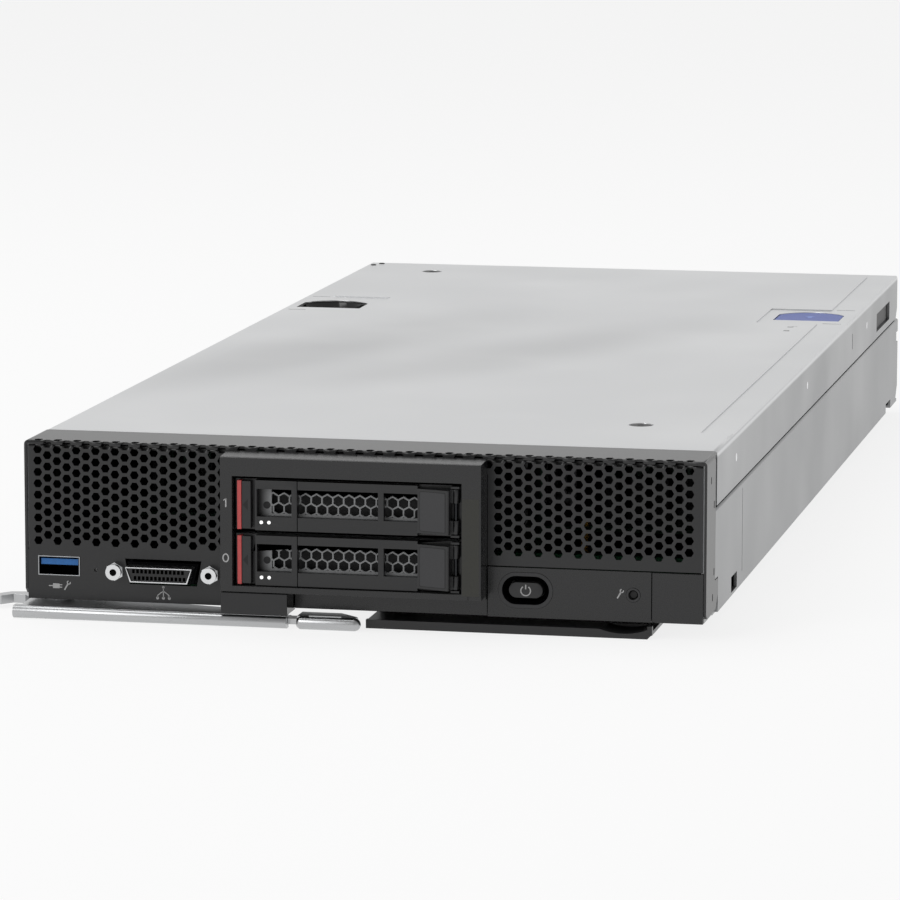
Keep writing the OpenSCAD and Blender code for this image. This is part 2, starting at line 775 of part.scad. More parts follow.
// A lever: two bars, a strut, a thick slanted end and the knuckles on its pin
module lever(z) {
    thick_end = [[label_x, face_y], [label_x + 9.9, face_y - 3], [label_x + 10.3, face_y - 2.6],
                 [label_x + 10.3, back_y - gap], [label_x, back_y - gap]];
    color(black) place() translate([0, 0, z]) difference() {
        union() {
            block([seam_x + 0.2, face_y, 0.1], [label_x, back_y - gap, 4.4]);
            block([seam_x + 0.2, face_y, 13], [label_x, back_y - gap, carrier_h - 0.1]);
            block([label_x - 12.4, face_y, 4], [label_x - 10.6, back_y - gap, 13.2]);
            flat(1, carrier_h - 1) polygon(thick_end);
            for (e = [[1, 5.2], [carrier_h - 5.2, carrier_h - 1]]) {
                rod_z(pivot_x, pivot_y, 1.25, e[0], e[1]);
                block([label_x + 10, pivot_y - 1, e[0]], [pivot_x, pivot_y + 1, e[1]]);
            }
        }
        rod_z(pivot_x, pivot_y, lever_pin_r + turn_gap, -cut, carrier_h + cut);
        block([label_x + 10.3, pivot_y - 1.3, 5.2], [pivot_x + 2, back_y, carrier_h - 5.2]);
    }
}
module lower_lever() { lever(bay_zs[0]); }
module upper_lever() { lever(bay_zs[1]); }

module lever_pin(z) {
    color(light_steel) place() rod_z(pivot_x, pivot_y, lever_pin_r, z, z + carrier_h);
}
module lower_pin() { lever_pin(bay_zs[0]); }
module upper_pin() { lever_pin(bay_zs[1]); }

// A catch that slides to the left, with its tongue through the carrier's backing
module carrier_catch(z) {
    x0 = slot_x + 2.75;
    color(black) place() translate([0, 0, z]) {
        block([x0, face_y + 0.2, 0.5], [x0 + 2.9, back_y - gap, carrier_h - 0.5]);
        block([x0 + 0.9, back_y - gap, carrier_h / 2 - 2], [x0 + 2.1, back_y + 3, carrier_h / 2 + 2]);
    }
}
module lower_catch() { carrier_catch(bay_zs[0]); }
module upper_catch() { carrier_catch(bay_zs[1]); }

// Coloured stripe along the left edge of a catch
module stripe(z) {
    x0 = slot_x + 1.45;
    color("#cf6262") place() translate([0, 0, z])
        block([x0, face_y - 0.2, 0.3], [x0 + 1.3, back_y - gap, carrier_h - 0.3]);
}
module lower_stripe() { stripe(bay_zs[0]); }
module upper_stripe() { stripe(bay_zs[1]); }

// Two light windows in the fixed left face of a carrier
module lights(z) {
    color("white") place() translate([0, 0, z]) for (i = [0, 1])
        rod_y(window_x + 1.85 + i * 2.4, 2.6, 0.55, face_y - 0.05, face_y + 1);
}
module lower_lights() { lights(bay_zs[0]); }
module upper_lights() { lights(bay_zs[1]); }

// ---- handle ----

module handle_lever() {
    outline = [[0.5, -6.4], [grip_end, -6.4], [grip_end, -1.6], [60, 3], [30, 9], [18, 16],
               [6, 17], [-2, 15.8], [-9, 14.6], [-12.3, 10.5], [-12.3, 6.9], [-10, 6.6],
               [-7.05, 10.3], [-3.1, 9.9], [0, 5.5]];
    color(steel) place() difference() {
        union() {
            flat(lever_z, lever_top) polygon(outline);
            block([grip_end - 6, -7.3, lever_z + 0.1], [tongue_end, -2.2, lever_top - 0.9]);
        }
        rod_z(handle_pivot_x, handle_pivot_y, handle_pin_r + turn_gap, lever_z - cut, 0);
        block([grip_x - cut, -grip_proud, lever_z - cut], [grip_end, -5.9, 0]);
        block([grip_end - 6, -7.6, lever_top - 0.9], [grip_end + 1, -1, 0]);
    }
}

module handle_grip() {
    r = grip_h / 2;
    color("#c9cbcd") place() difference() {
        union() {
            rod_x(r - grip_proud, grip_top - r, r, grip_x, grip_end);
            block([grip_x, r - grip_proud, grip_top - grip_h], [grip_end, -5.9, grip_top]);
        }
        block([grip_end - 6.3, -7.6, lever_z - 0.2], [grip_end + cut, -5.9 + cut, lever_top - 0.6]);
        block([grip_x - cut, -8.9, grip_top - 0.25], [grip_end + cut, -8.5, grip_top + cut]);
    }
}

module handle_pivot() {
    color(light_steel) place() {
        rod_z(handle_pivot_x, handle_pivot_y, handle_pin_r, lever_z - 0.1, front_floor);
        rod_z(handle_pivot_x, handle_pivot_y, 5, lever_z - 0.9, lever_z - 0.1);
        rod_z(handle_pivot_x, handle_pivot_y, 4.4, lever_top + 0.05, 0);
    }
}

// The sliding catch: a round nose with a domed end and a flat plate that reaches back over the
// lever's tongue, with a raised finger line on top
module handle_catch() {
    r = 2.05;
    top = catch_top;
    end_x = catch_x + catch_l;
    nose_y = r - grip_proud;
    plate = [[catch_x, nose_y], [end_x - r, nose_y], [end_x - 1, nose_y + 1], [end_x - 2, -5.6],
             [end_x - 7.6, -0.7], [catch_x, -0.7]];
    color("#c9cbcd") place() difference() {
        union() {
            rod_x(nose_y, top - r, r, catch_x + 0.9, end_x - r);
            translate([catch_x, nose_y, top - r]) rotate([0, 90, 0])
                cylinder(r1 = r - 0.7, r2 = r, h = 0.9);
            translate([end_x - r, nose_y, top - r]) sphere(r);
            flat(top - r - 1.1, top) polygon(plate);
            block([catch_x + 3.8, -8.1, top - 0.1], [catch_x + 14, -7.7, top + 0.25]);
        }
        block([catch_x - cut, -7.3 - gap, lever_z + 0.1 - gap],
              [tongue_end + catch_travel + 0.4, -2.2 + gap, lever_top - 0.9 + gap]);
    }
}

// ---- pull-out tab ----

module pull_out_tab() {
    scoop_r = 22;
    color(black) place() difference() {
        union() {
            block([tab_x, tab_y, tab_z], [tab_end, tab_l + tab_y, tab_z + tab_t]);
            upright(tab_y, tab_y + 1.8)
                polygon([[tab_x, -4.5], [tab_end - 1.5, -4.5], [tab_end, -3], [tab_end, -0.5],
                         [tab_end - 1.5, -0.5], [tab_end - 1.5, -1.75], [tab_x, -1.75]]);
        }
        intersection() {
            rod_y(tab_end - 9, scoop_r - 3, scoop_r, tab_y - cut, tab_y + 12);
            block([tab_x, tab_y - cut, -4], [tab_end - 1.5, tab_y + 12, 0]);
        }
        block([tab_x + 12, 30, tab_z - cut], [tab_end - 12, 30.8, tab_z + 0.4]);
    }
}

// One guide: hangs from the base and turns in under the tab's edge
module tab_guide(edge_x) {
    low_z = tab_z - gap - 0.7;
    block([edge_x - guide_t, 24, low_z], [edge_x, 78, floor_step]);
    block([edge_x - guide_t, 24, low_z], [edge_x + 2.4, 78, tab_z - gap]);
}

module tab_guides() {
    color(steel) place() for (side = [0, 1])
        translate([side * (tab_x + tab_end), 0, 0]) mirror([side, 0, 0]) tab_guide(tab_x - gap);
}

// ---- cover ----

module cover_section() {
    low_z = seam_z + seam_gap;
    outer_w = body_w - 2 * cover_inset;
    difference() {
        translate([cover_inset, low_z]) round_rect_top(outer_w, body_h - low_z, 1.4);
        translate([cover_inset + cover_t, low_z - cut])
            square([outer_w - 2 * cover_t, cover_z - low_z + cut]);
    }
}

module top_cover() {
    step_z = body_h - step_h;
    color(light_steel) place() difference() {
        union() {
            upright(front_plate_d + gap, body_d) cover_section();
            block([cover_inset + cover_t, body_d - cover_t, 43],
                  [body_w - cover_inset - cover_t, body_d, cover_z + 0.1]);
        }
        both_sides() block([-cut, 59.5, step_z], [11.4, body_d + cut, body_h + cut]);
        block([-cut, body_d - 9, step_z], [body_w + cut, body_d + cut, body_h + cut]);
        block([11, finger_y - 8.5, step_z], [33.5, finger_y + 33, body_h + cut]);
        block([body_w - 34.1, finger_y - 11, step_z], [body_w - 11, finger_y + 30.5, body_h + cut]);
        flat(cover_z - cut, body_h + cut) translate([left_finger_x, finger_y])
            finger_outline(finger_w, finger_l, 8);
        flat(cover_z - cut, body_h + cut) translate([right_finger_x, finger_y])
            finger_outline(finger_w, finger_l + 2, 8);
        for (y = [finger_y - 7.5, finger_y + 33])
            both_sides() block([2.9, y - 0.4, cover_z - cut], [9.8, y + 0.4, body_h + cut]);
        rod_z(31.2, 465, 4, body_h - 0.5, body_h + cut);
        rod_z(body_w - 32.6, 71.7, 4, body_h - 0.5, body_h + cut);
        both_sides() block([-cut, 351.4, 39], [cover_inset + cover_t + cut, 352.4, 44.8]);
        both_sides() block([-cut, 425.6, 36], [cover_inset + cover_t + cut, 467, 43]);
        both_sides() sideways(-cut, cover_inset + cover_t + cut)
            polygon([[body_d + cut, seam_z - cut], [body_d + cut, 38], [body_d - 6, seam_z - cut]]);
        both_sides() for (y = stud_ys)
            rod_x(y, stud_z, stud_r, -cut, cover_inset + cover_t + cut);
    }
}

module cover_studs() {
    color(light_steel) place() both_sides() for (y = stud_ys)
        rod_x(y, stud_z, stud_r, cover_inset, flange_x + sheet_t + 0.6);
}

module cover_latch() {
    w = finger_w - 2 * gap;
    l = finger_l + 2 - latch_t - 2 * gap;
    color("#4a62ad") place() difference() {
        union() {
            flat(latch_axis_z, latch_top) translate([right_finger_x, latch_axis_y])
                finger_outline(w, l, 8);
            rod_x(latch_axis_y, latch_axis_z, latch_t, right_finger_x - w / 2, right_finger_x + w / 2);
            block([right_finger_x - 4, latch_axis_y + 6, 44.6],
                  [right_finger_x + 4, latch_axis_y + 7.4, latch_axis_z + 0.1]);
            block([right_finger_x - 4, latch_axis_y + 4.6, 44.6],
                  [right_finger_x + 4, latch_axis_y + 6.1, 45.6]);
        }
        rod_x(latch_axis_y, latch_axis_z, latch_pin_r + turn_gap,
              right_finger_x - w, right_finger_x + w);
    }
}

// Ears welded under the cover, which hold the latch's pin
module latch_bracket() {
    ear_x = finger_w / 2 + 0.2;
    color(steel) place() translate([right_finger_x, 0, 0]) for (s = [-1, 1])
        difference() {
            block([min(s * ear_x, s * (ear_x + 1.2)), latch_axis_y - 3, 45],
                  [max(s * ear_x, s * (ear_x + 1.2)), latch_axis_y + 12, cover_z]);
            rod_x(latch_axis_y, latch_axis_z, latch_pin_r + pin_gap, -finger_w, finger_w);
        }
}

module latch_pin() {
    reach = finger_w / 2 + 1.4;
    color(light_steel) place()
        rod_x(latch_axis_y, latch_axis_z, latch_pin_r, right_finger_x - reach, right_finger_x + reach);
}

module finger_cup() {
    color("#1b1b1c") place() translate([left_finger_x, finger_y, 0]) difference() {
        flat(44, cover_z) translate([0, -0.8]) finger_outline(finger_w + 1.6, finger_l + 1.6, 8.3);
        flat(44.9, cover_z + cut) finger_outline(finger_w, finger_l, 8);
    }
}

// ---- inside ----

module system_board() {
    color(board_green) place() difference() {
        block([4, board_y, board_z], [body_w - 4, rear_wall_y - 5, board_top]);
        for (p = standoff_places())
            rod_z(p[0], p[1], 1.7, board_z - cut, board_top + cut);
    }
}

function standoff_places() = [
    for (x = [60, body_w / 2, body_w - 60],
         y = [board_y + 4, board_y + zone_pitch + 4, rear_wall_y - 38]) [x, y]
];

module standoffs() {
    color("goldenrod") place() for (p = standoff_places()) {
        rod_z(p[0], p[1], 2.6, sheet_t, board_z);
        rod_z(p[0], p[1], 1.6, board_z, board_top);
        rod_z(p[0], p[1], 2.9, board_top, board_top + 1.4);
    }
}

module processor_sockets() {
    color("#c7c3b6") place() for (y = zone_ys) difference() {
        block([body_w / 2 - 38, y - 28, board_top], [body_w / 2 + 38, y + 28, board_top + 4]);
        block([body_w / 2 - 30, y - 22, board_top + 3], [body_w / 2 + 30, y + 22, board_top + 5]);
    }
}

module heat_sinks() {
    base_z = board_top + 4;
    fin_pitch = (sink_w - fin_t) / (fin_count - 1);
    color("silver") place() for (y = zone_ys) translate([sink_x, y - sink_l / 2, 0]) {
        block([0, 0, base_z], [sink_w, sink_l, base_z + 4]);
        for (i = [0 : fin_count - 1])
            translate([i * fin_pitch, 0, 0]) block([0, 0, base_z + 4], [fin_t, sink_l, 43]);
    }
}

// Places of the memory slots: every slot of both sides of both zones
function memory_places() = [
    for (y = zone_ys, i = [0 : slots_per_side - 1], side = [0, 1])
        [side == 0 ? memory_x + i * memory_pitch : body_w - memory_x - i * memory_pitch, y]
];

module memory_sockets() {
    half = module_l / 2 + 3.5;
    color("#26282b") place() for (p = memory_places()) translate([p[0], p[1], board_top])
        difference() {
            union() {
                block([-3, -half, 0], [3, half, 5.6]);
                for (s = [-1, 1])
                    block([-2, s * (half - 1.5) - 1.5, 5.5], [2, s * (half - 1.5) + 1.5, 16]);
            }
            block([-0.75, -half + 3.2, 2], [0.75, half - 3.2, 20]);
        }
}

module memory_modules() {
    color("#2b6b48") place() for (p = memory_places()) translate([p[0], p[1], board_top + 2.1]) {
        block([-0.65, -module_l / 2, 0], [0.65, module_l / 2, module_h]);
        for (k = [0 : 8])
            block([0.65, -56.5 + k * 13, 12], [1.75, -47.5 + k * 13, 26]);
    }
}

module io_adapters() {
    post = 4;
    color(board_green) place() both_sides() translate([8, adapter_y, adapter_z]) {
        block([0, 0, 0], [adapter_w, adapter_l, pcb_t]);
        block([18, 17, pcb_t], [50, 45, 12]);
        for (x = [post, adapter_w - post], y = [post, adapter_l - post])
            rod_z(x, y, 2, board_top - adapter_z, 0);
    }
}

module rear_connectors() {
    color("#1a1a1b") place() both_sides()
        translate([signal_x, rear_face - signal_l, signal_z]) difference() {
            block([0, 0, 0], [signal_w, signal_l, signal_h]);
            block([pocket_t, signal_l - 8.6, pocket_t],
                  [signal_w - pocket_t, signal_l + cut, signal_h - pocket_t]);
        }
}

module power_connector() {
    half = power_plug_w / 2;
    color("#1a1a1b") place() translate([body_w / 2, rear_face - power_plug_l, board_top])
        difference() {
            block([-half, 0, 0], [half, power_plug_l, power_plug_h]);
            for (s = [-1, 1])
                block([min(s * pocket_t / 1.2, s * (half - pocket_t)), power_plug_l - 10.6, pocket_t],
                      [max(s * pocket_t / 1.2, s * (half - pocket_t)), power_plug_l + cut,
                       power_plug_h - pocket_t]);
        }
}

base_tray();
front_shroud();
left_grille();
right_grille();
drive_bay_frame();
badge_block();
control_panel();
service_plate();
power_ring();
power_button();
mode_button_ring();
mode_button();
control_board();
usb_port();
usb_tongue();
console_connector();
console_insert();
console_contacts();
console_posts();
reset_button();
port_board();
drive_cage();
drive_backplane();
lower_carrier();
upper_carrier();
lower_drive();
upper_drive();
lower_grille();
upper_grille();
lower_lever();
upper_lever();
lower_pin();
upper_pin();
lower_catch();
upper_catch();
lower_stripe();
upper_stripe();
lower_lights();
upper_lights();
handle_lever();
handle_grip();
handle_pivot();
handle_catch();
pull_out_tab();
tab_guides();
top_cover();
cover_studs();
cover_latch();
latch_bracket();
latch_pin();
finger_cup();
system_board();
standoffs();
processor_sockets();
heat_sinks();
memory_sockets();
memory_modules();
io_adapters();
rear_connectors();
power_connector();
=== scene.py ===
from math import cos, pi, radians, sin, tan

import bmesh
import bpy
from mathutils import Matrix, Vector


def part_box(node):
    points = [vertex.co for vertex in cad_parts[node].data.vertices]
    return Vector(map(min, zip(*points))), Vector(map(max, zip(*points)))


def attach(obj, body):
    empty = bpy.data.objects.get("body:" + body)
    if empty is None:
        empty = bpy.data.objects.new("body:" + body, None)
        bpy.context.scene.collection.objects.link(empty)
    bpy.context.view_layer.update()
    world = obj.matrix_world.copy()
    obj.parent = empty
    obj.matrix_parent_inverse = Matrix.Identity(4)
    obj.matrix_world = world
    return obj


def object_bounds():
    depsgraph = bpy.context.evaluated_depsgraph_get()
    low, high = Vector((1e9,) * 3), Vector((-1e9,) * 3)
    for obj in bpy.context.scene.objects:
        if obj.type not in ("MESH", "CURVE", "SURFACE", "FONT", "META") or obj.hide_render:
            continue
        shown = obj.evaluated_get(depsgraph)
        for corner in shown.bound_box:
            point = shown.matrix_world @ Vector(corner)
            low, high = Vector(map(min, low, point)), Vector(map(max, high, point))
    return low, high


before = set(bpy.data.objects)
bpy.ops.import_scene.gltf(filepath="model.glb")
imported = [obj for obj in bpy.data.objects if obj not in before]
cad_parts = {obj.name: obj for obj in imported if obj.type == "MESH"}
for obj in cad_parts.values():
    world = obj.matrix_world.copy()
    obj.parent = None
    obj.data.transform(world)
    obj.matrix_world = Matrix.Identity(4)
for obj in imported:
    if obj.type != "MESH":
        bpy.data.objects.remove(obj)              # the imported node: steel, boards, drives, handle, cover
cad_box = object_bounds()


# ---------------------------------------------------------------------------
# Studio: a white floor that the node lies on, a wide soft light overhead, a smaller one from the
# front left, and a pale room that is brightest behind the node and falls off above and in front.
# ---------------------------------------------------------------------------

def linear(hex_colour):
    """An sRGB hex value as linear red, green, blue and alpha."""
    parts = [int(hex_colour[i:i + 2], 16) / 255 for i in (1, 3, 5)]
    return tuple(p / 12.92 if p <= 0.04045 else ((p + 0.055) / 1.055) ** 2.4 for p in parts) + (1.0,)


def add_node(tree, kind, settings=None, links=None):
    """Adds one shader node, sets its properties or inputs and links its inputs."""
    node = tree.nodes.new(kind)
    for key, value in (settings or {}).items():
        if isinstance(key, str) and hasattr(node, key):
            setattr(node, key, value)
        else:
            node.inputs[key].default_value = value
    for key, socket in (links or {}).items():
        tree.links.new(socket, node.inputs[key])
    return node


scene = bpy.context.scene
scene.view_settings.view_transform = "Standard"

floor_z = cad_box[0][2]
floor_near = -6                # metres: the floor's left, right and front edges are 6 m away
floor_far = 9
floor_mesh = bpy.data.meshes.new("studio_floor")
floor_mesh.from_pydata([(floor_near, floor_near, floor_z), (-floor_near, floor_near, floor_z),
                        (-floor_near, floor_far, floor_z), (floor_near, floor_far, floor_z)], [],
                       [(0, 1, 2, 3)])
studio_floor = bpy.data.objects.new("studio_floor", floor_mesh)
scene.collection.objects.link(studio_floor)
floor_paint = bpy.data.materials.new("floor_paint")
floor_paint.use_nodes = True
tree = floor_paint.node_tree
paint = tree.nodes["Principled BSDF"]
paint.inputs["Base Color"].default_value = linear("#f4f4f4")
paint.inputs["Roughness"].default_value = 0.9
paint.inputs["Specular IOR Level"].default_value = 0.1
# The lens, metal and glass see mostly plain white, and the rest of the paint keeps a faint shadow
floor_whiteness = 0.82
rays = add_node(tree, "ShaderNodeLightPath")
seen = add_node(tree, "ShaderNodeMath", {"operation": "ADD"},
                {0: rays.outputs["Is Camera Ray"], 1: rays.outputs["Is Glossy Ray"]})
seen = add_node(tree, "ShaderNodeMath", {"operation": "ADD", "use_clamp": True},
                {0: seen.outputs[0], 1: rays.outputs["Is Transmission Ray"]})
share = add_node(tree, "ShaderNodeMath", {"operation": "MULTIPLY", 1: floor_whiteness},
                 {0: seen.outputs[0]})
white = add_node(tree, "ShaderNodeEmission", {"Color": linear("#ffffff"), "Strength": 1.0})
shown = add_node(tree, "ShaderNodeMixShader", links={0: share.outputs[0], 1: paint.outputs[0],
                                                     2: white.outputs[0]})
tree.links.new(shown.outputs[0], tree.nodes["Material Output"].inputs["Surface"])
floor_mesh.materials.append(floor_paint)

world = bpy.data.worlds.new("pale_room")
scene.world = world
world.use_nodes = True
tree = world.node_tree
direction = add_node(tree, "ShaderNodeTexCoord")
parts = add_node(tree, "ShaderNodeSeparateXYZ", links={"Vector": direction.outputs["Generated"]})
# Full strength at the horizon, half of it from 45 degrees up
height = add_node(tree, "ShaderNodeMapRange",
                  {"From Min": 0.05, "From Max": 0.7, "To Min": 1.0, "To Max": 0.5},
                  {"Value": parts.outputs["Z"]})
# Brightest behind the node and a little to its left, 0.6 of that on the opposite side
rear = add_node(tree, "ShaderNodeVectorMath", {"operation": "DOT_PRODUCT", 1: (-0.3, 0.95, 0)},
                {0: direction.outputs["Generated"]})
around = add_node(tree, "ShaderNodeMapRange",
                  {"From Min": -1.0, "From Max": 1.0, "To Min": 0.6, "To Max": 1.0},
                  {"Value": rear.outputs["Value"]})
strength = add_node(tree, "ShaderNodeMath", {"operation": "MULTIPLY"},
                    {0: height.outputs["Result"], 1: around.outputs["Result"]})
tree.links.new(strength.outputs[0], tree.nodes["Background"].inputs["Strength"])
tree.nodes["Background"].inputs["Color"].default_value = linear("#ffffff")


def softbox(name, place, aim, size, watts):
    """A square soft light that looks at a point."""
    lamp = bpy.data.lights.new(name, "AREA")
    lamp.size = size
    lamp.energy = watts
    box = bpy.data.objects.new(name, lamp)
    box.location = place
    box.rotation_euler = (Vector(aim) - Vector(place)).to_track_quat("-Z", "Y").to_euler()
    scene.collection.objects.link(box)


softbox("overhead_light", (-0.5, 0.1, 1.5), (0, 0, 0), 1.3, 11)
softbox("front_light", (-0.9, -1.4, 0.8), (0, -0.2, 0), 0.8, 6)

# The lens stands 1.5 m in front of the node and to its right, turned a little to the left
sensor_mm = 36
view_angle = 10.304
camera_data = bpy.data.cameras.new("studio_camera")
camera_data.sensor_width = sensor_mm
camera_data.lens = sensor_mm / (2 * tan(radians(view_angle / 2)))
camera = bpy.data.objects.new("studio_camera", camera_data)
camera.location = (0.33675, -1.72565, 0.2850)
camera.rotation_euler = (radians(90 - 8.78), radians(-0.07), radians(11.80))
scene.collection.objects.link(camera)
scene.camera = camera


# ---------------------------------------------------------------------------
# Base tray, drive cage and brackets: 1 mm zinc-plated steel, cut, folded and riveted.
# The plating is a satin grey metal with fine rolling lines and slow clouds in tone and sheen.
# ---------------------------------------------------------------------------

MM = 0.001


def surface(name, colour, roughness, metallic=0.0, **sockets):
    """A new material with these values on its shader, its node tree and its shader."""
    made = bpy.data.materials.new(name)
    made.use_nodes = True
    shader = made.node_tree.nodes["Principled BSDF"]
    shader.inputs["Base Color"].default_value = linear(colour)
    shader.inputs["Roughness"].default_value = roughness
    shader.inputs["Metallic"].default_value = metallic
    for socket, value in sockets.items():
        shader.inputs[socket.replace("_", " ")].default_value = value
    return made, made.node_tree, shader


def rolled_steel(name, dark, light, roughness, wave_mm=0.15):
    """Zinc-plated sheet: clouds of 60 mm, rolling lines along the depth and waves of 110 mm."""
    made, tree, shader = surface(name, light, roughness, 1.0)
    place = add_node(tree, "ShaderNodeTexCoord")
    clouds = add_node(tree, "ShaderNodeTexNoise", {"Scale": 1000 / 60, "Detail": 2.0},
                      {"Vector": place.outputs["Object"]})
    tone = add_node(tree, "ShaderNodeMix",
                    {"name": "Tone", "data_type": "RGBA", 6: linear(dark), 7: linear(light)},
                    {0: clouds.outputs["Fac"]})
    tree.links.new(tone.outputs[2], shader.inputs["Base Color"])
    sheen = add_node(tree, "ShaderNodeMapRange", {"From Min": 0.3, "From Max": 0.7,
                                                  "To Min": roughness - 0.05, "To Max": roughness + 0.05},
                     {"Value": clouds.outputs["Fac"]})
    tree.links.new(sheen.outputs["Result"], shader.inputs["Roughness"])
    # Rolling lines are about 0.1 mm apart; drawn 0.9 mm so that they show
    along = add_node(tree, "ShaderNodeMapping", {"Scale": (1, 0.05, 1)}, {"Vector": place.outputs["Object"]})
    lines = add_node(tree, "ShaderNodeTexNoise", {"Scale": 1000 / 0.9, "Detail": 3.0},
                     {"Vector": along.outputs["Vector"]})
    waves = add_node(tree, "ShaderNodeTexNoise", {"Scale": 1000 / 110, "Detail": 1.0},
                     {"Vector": place.outputs["Object"]})
    fine = add_node(tree, "ShaderNodeBump", {"Strength": 0.6, "Distance": 0.004 * MM},
                    {"Height": lines.outputs["Fac"]})
    slow = add_node(tree, "ShaderNodeBump", {"Strength": 1.0, "Distance": wave_mm * MM},
                    {"Height": waves.outputs["Fac"], "Normal": fine.outputs["Normal"]})
    tree.links.new(slow.outputs["Normal"], shader.inputs["Normal"])
    return made


def dress(finish, *names):
    """Gives nodes one finish on all their faces."""
    for name in names:
        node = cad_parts[name]
        if not node.material_slots:
            node.data.materials.append(finish)
        for place in node.material_slots:
            place.material = finish


def ease(radius_mm, *names, segments=2):
    """Rounds the edges of nodes a little, as deburring or moulding leaves them."""
    for name in names:
        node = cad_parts[name]
        node.modifiers.new("joined", "WELD").merge_threshold = 0.002 * MM
        flats = node.modifiers.new("flats", "DECIMATE")
        flats.decimate_type = "DISSOLVE"
        flats.angle_limit = radians(0.3)       # facets this close to level are one flat
        edge = node.modifiers.new("edges", "BEVEL")
        edge.width = radius_mm * MM
        edge.segments = segments
        edge.limit_method = "ANGLE"
        edge.angle_limit = radians(35)         # gentler folds are left as they are
        edge.harden_normals = True
        edge.use_clamp_overlap = True


# The tray's grey is set darker than the cover's: painted shade for the darker surroundings its sides reflect.
base_steel_painted_shade = rolled_steel("zinc_plated_base_steel_painted_shade", "#8f9091", "#9b9c9d", 0.36)
dress(base_steel_painted_shade, "base_tray", "drive_cage", "latch_bracket")
ease(0.2, "base_tray")
ease(0.15, "latch_bracket")


def finished(name, mesh, finish, body):
    """Turns a bmesh into a piece with its finish, body and material slot."""
    bmesh.ops.recalc_face_normals(mesh, faces=mesh.faces[:])
    data = bpy.data.meshes.new(name)
    mesh.to_mesh(data)
    mesh.free()
    piece = bpy.data.objects.new(name, data)
    scene.collection.objects.link(piece)
    data.materials.append(finish)
    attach(piece, body)
    return piece


def solid(name, low, high, finish, body, round_mm=0.0):
    """A block between two corners in metres, with eased edges, riding on a body."""
    mesh = bmesh.new()
    bmesh.ops.create_cube(mesh, size=1)
    for vert in mesh.verts:
        vert.co = Vector([low[i] + (vert.co[i] + 0.5) * (high[i] - low[i]) for i in range(3)])
    if round_mm:
        bmesh.ops.bevel(mesh, geom=mesh.edges[:], offset=round_mm * MM, segments=2, affect="EDGES")
    return finished(name, mesh, finish, body)


# A black polyester sheet lines the inner wall behind the window of each skirt
polyester, tree, shader = surface("black_polyester_sheet", "#0b0b0c", 0.5, IOR=1.57)
place = add_node(tree, "ShaderNodeTexCoord")
haze = add_node(tree, "ShaderNodeTexNoise", {"Scale": 1000 / 3, "Detail": 2.0},
                {"Vector": place.outputs["Object"]})
tone = add_node(tree, "ShaderNodeMix", {"data_type": "RGBA", 6: linear("#09090a"), 7: linear("#101011")},
                {0: haze.outputs["Fac"]})
tree.links.new(tone.outputs[2], shader.inputs["Base Color"])
tray_low, tray_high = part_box("base_tray")
cover_low, cover_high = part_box("top_cover")
liner_x = 1.52 * MM            # from the side: between the skirt and the tray's inner wall
liner_t = 0.1 * MM
liner_front, liner_rear = tray_high.y - 69 * MM, tray_high.y - 24 * MM
liner_bottom, liner_top = 35.4 * MM, 43.6 * MM
for side, edge_x, inward in (("left", tray_low.x, 1), ("right", tray_high.x, -1)):
    xs = sorted((edge_x + inward * liner_x, edge_x + inward * (liner_x + liner_t)))
    solid(side + "_window_liner", (xs[0], liner_front, liner_bottom), (xs[1], liner_rear, liner_top),
          polyester, "chassis")


# ---------------------------------------------------------------------------
# Boards and what stands on them: green solder mask over glass fibre, black connectors, plated
# socket frames and extruded aluminium sinks. They are seen from the rear and with the cover back.
# ---------------------------------------------------------------------------

def moulded(name, dark, light, roughness, grain_mm=0.6, depth_mm=0.012, ior=1.5):
    """Moulded plastic, paint or powder coat: an even grain in tone and in relief."""
    made, tree, shader = surface(name, light, roughness, IOR=ior)
    place = add_node(tree, "ShaderNodeTexCoord")
    # Real grain is under 0.1 mm; grain_mm draws it as coarse as it needs to show
    grain = add_node(tree, "ShaderNodeTexNoise", {"Scale": 1000 / grain_mm, "Detail": 3.0},
                     {"Vector": place.outputs["Object"]})
    tone = add_node(tree, "ShaderNodeMix",
                    {"name": "Tone", "data_type": "RGBA", 6: linear(dark), 7: linear(light)},
                    {0: grain.outputs["Fac"]})
    tree.links.new(tone.outputs[2], shader.inputs["Base Color"])
    relief = add_node(tree, "ShaderNodeBump", {"Strength": 1.0, "Distance": depth_mm * MM},
                      {"Height": grain.outputs["Fac"]})
    tree.links.new(relief.outputs["Normal"], shader.inputs["Normal"])
    return made


def bright_metal(name, colour, low_rough, high_rough, grain_mm, stretch=(1, 1, 1)):
    """Plated, turned or extruded metal: the sheen varies along its tool marks, drawn coarse."""
    made, tree, shader = surface(name, colour, low_rough, 1.0)
    place = add_node(tree, "ShaderNodeTexCoord")
    along = add_node(tree, "ShaderNodeMapping", {"Scale": stretch}, {"Vector": place.outputs["Object"]})
    marks = add_node(tree, "ShaderNodeTexNoise", {"Scale": 1000 / grain_mm, "Detail": 3.0},
                     {"Vector": along.outputs["Vector"]})
    sheen = add_node(tree, "ShaderNodeMapRange", {"From Min": 0.3, "From Max": 0.7,
                                                  "To Min": low_rough, "To Max": high_rough},
                     {"Value": marks.outputs["Fac"]})
    tree.links.new(sheen.outputs["Result"], shader.inputs["Roughness"])
    relief = add_node(tree, "ShaderNodeBump", {"Strength": 0.5, "Distance": 0.003 * MM},
                      {"Height": marks.outputs["Fac"]})
    tree.links.new(relief.outputs["Normal"], shader.inputs["Normal"])
    return made


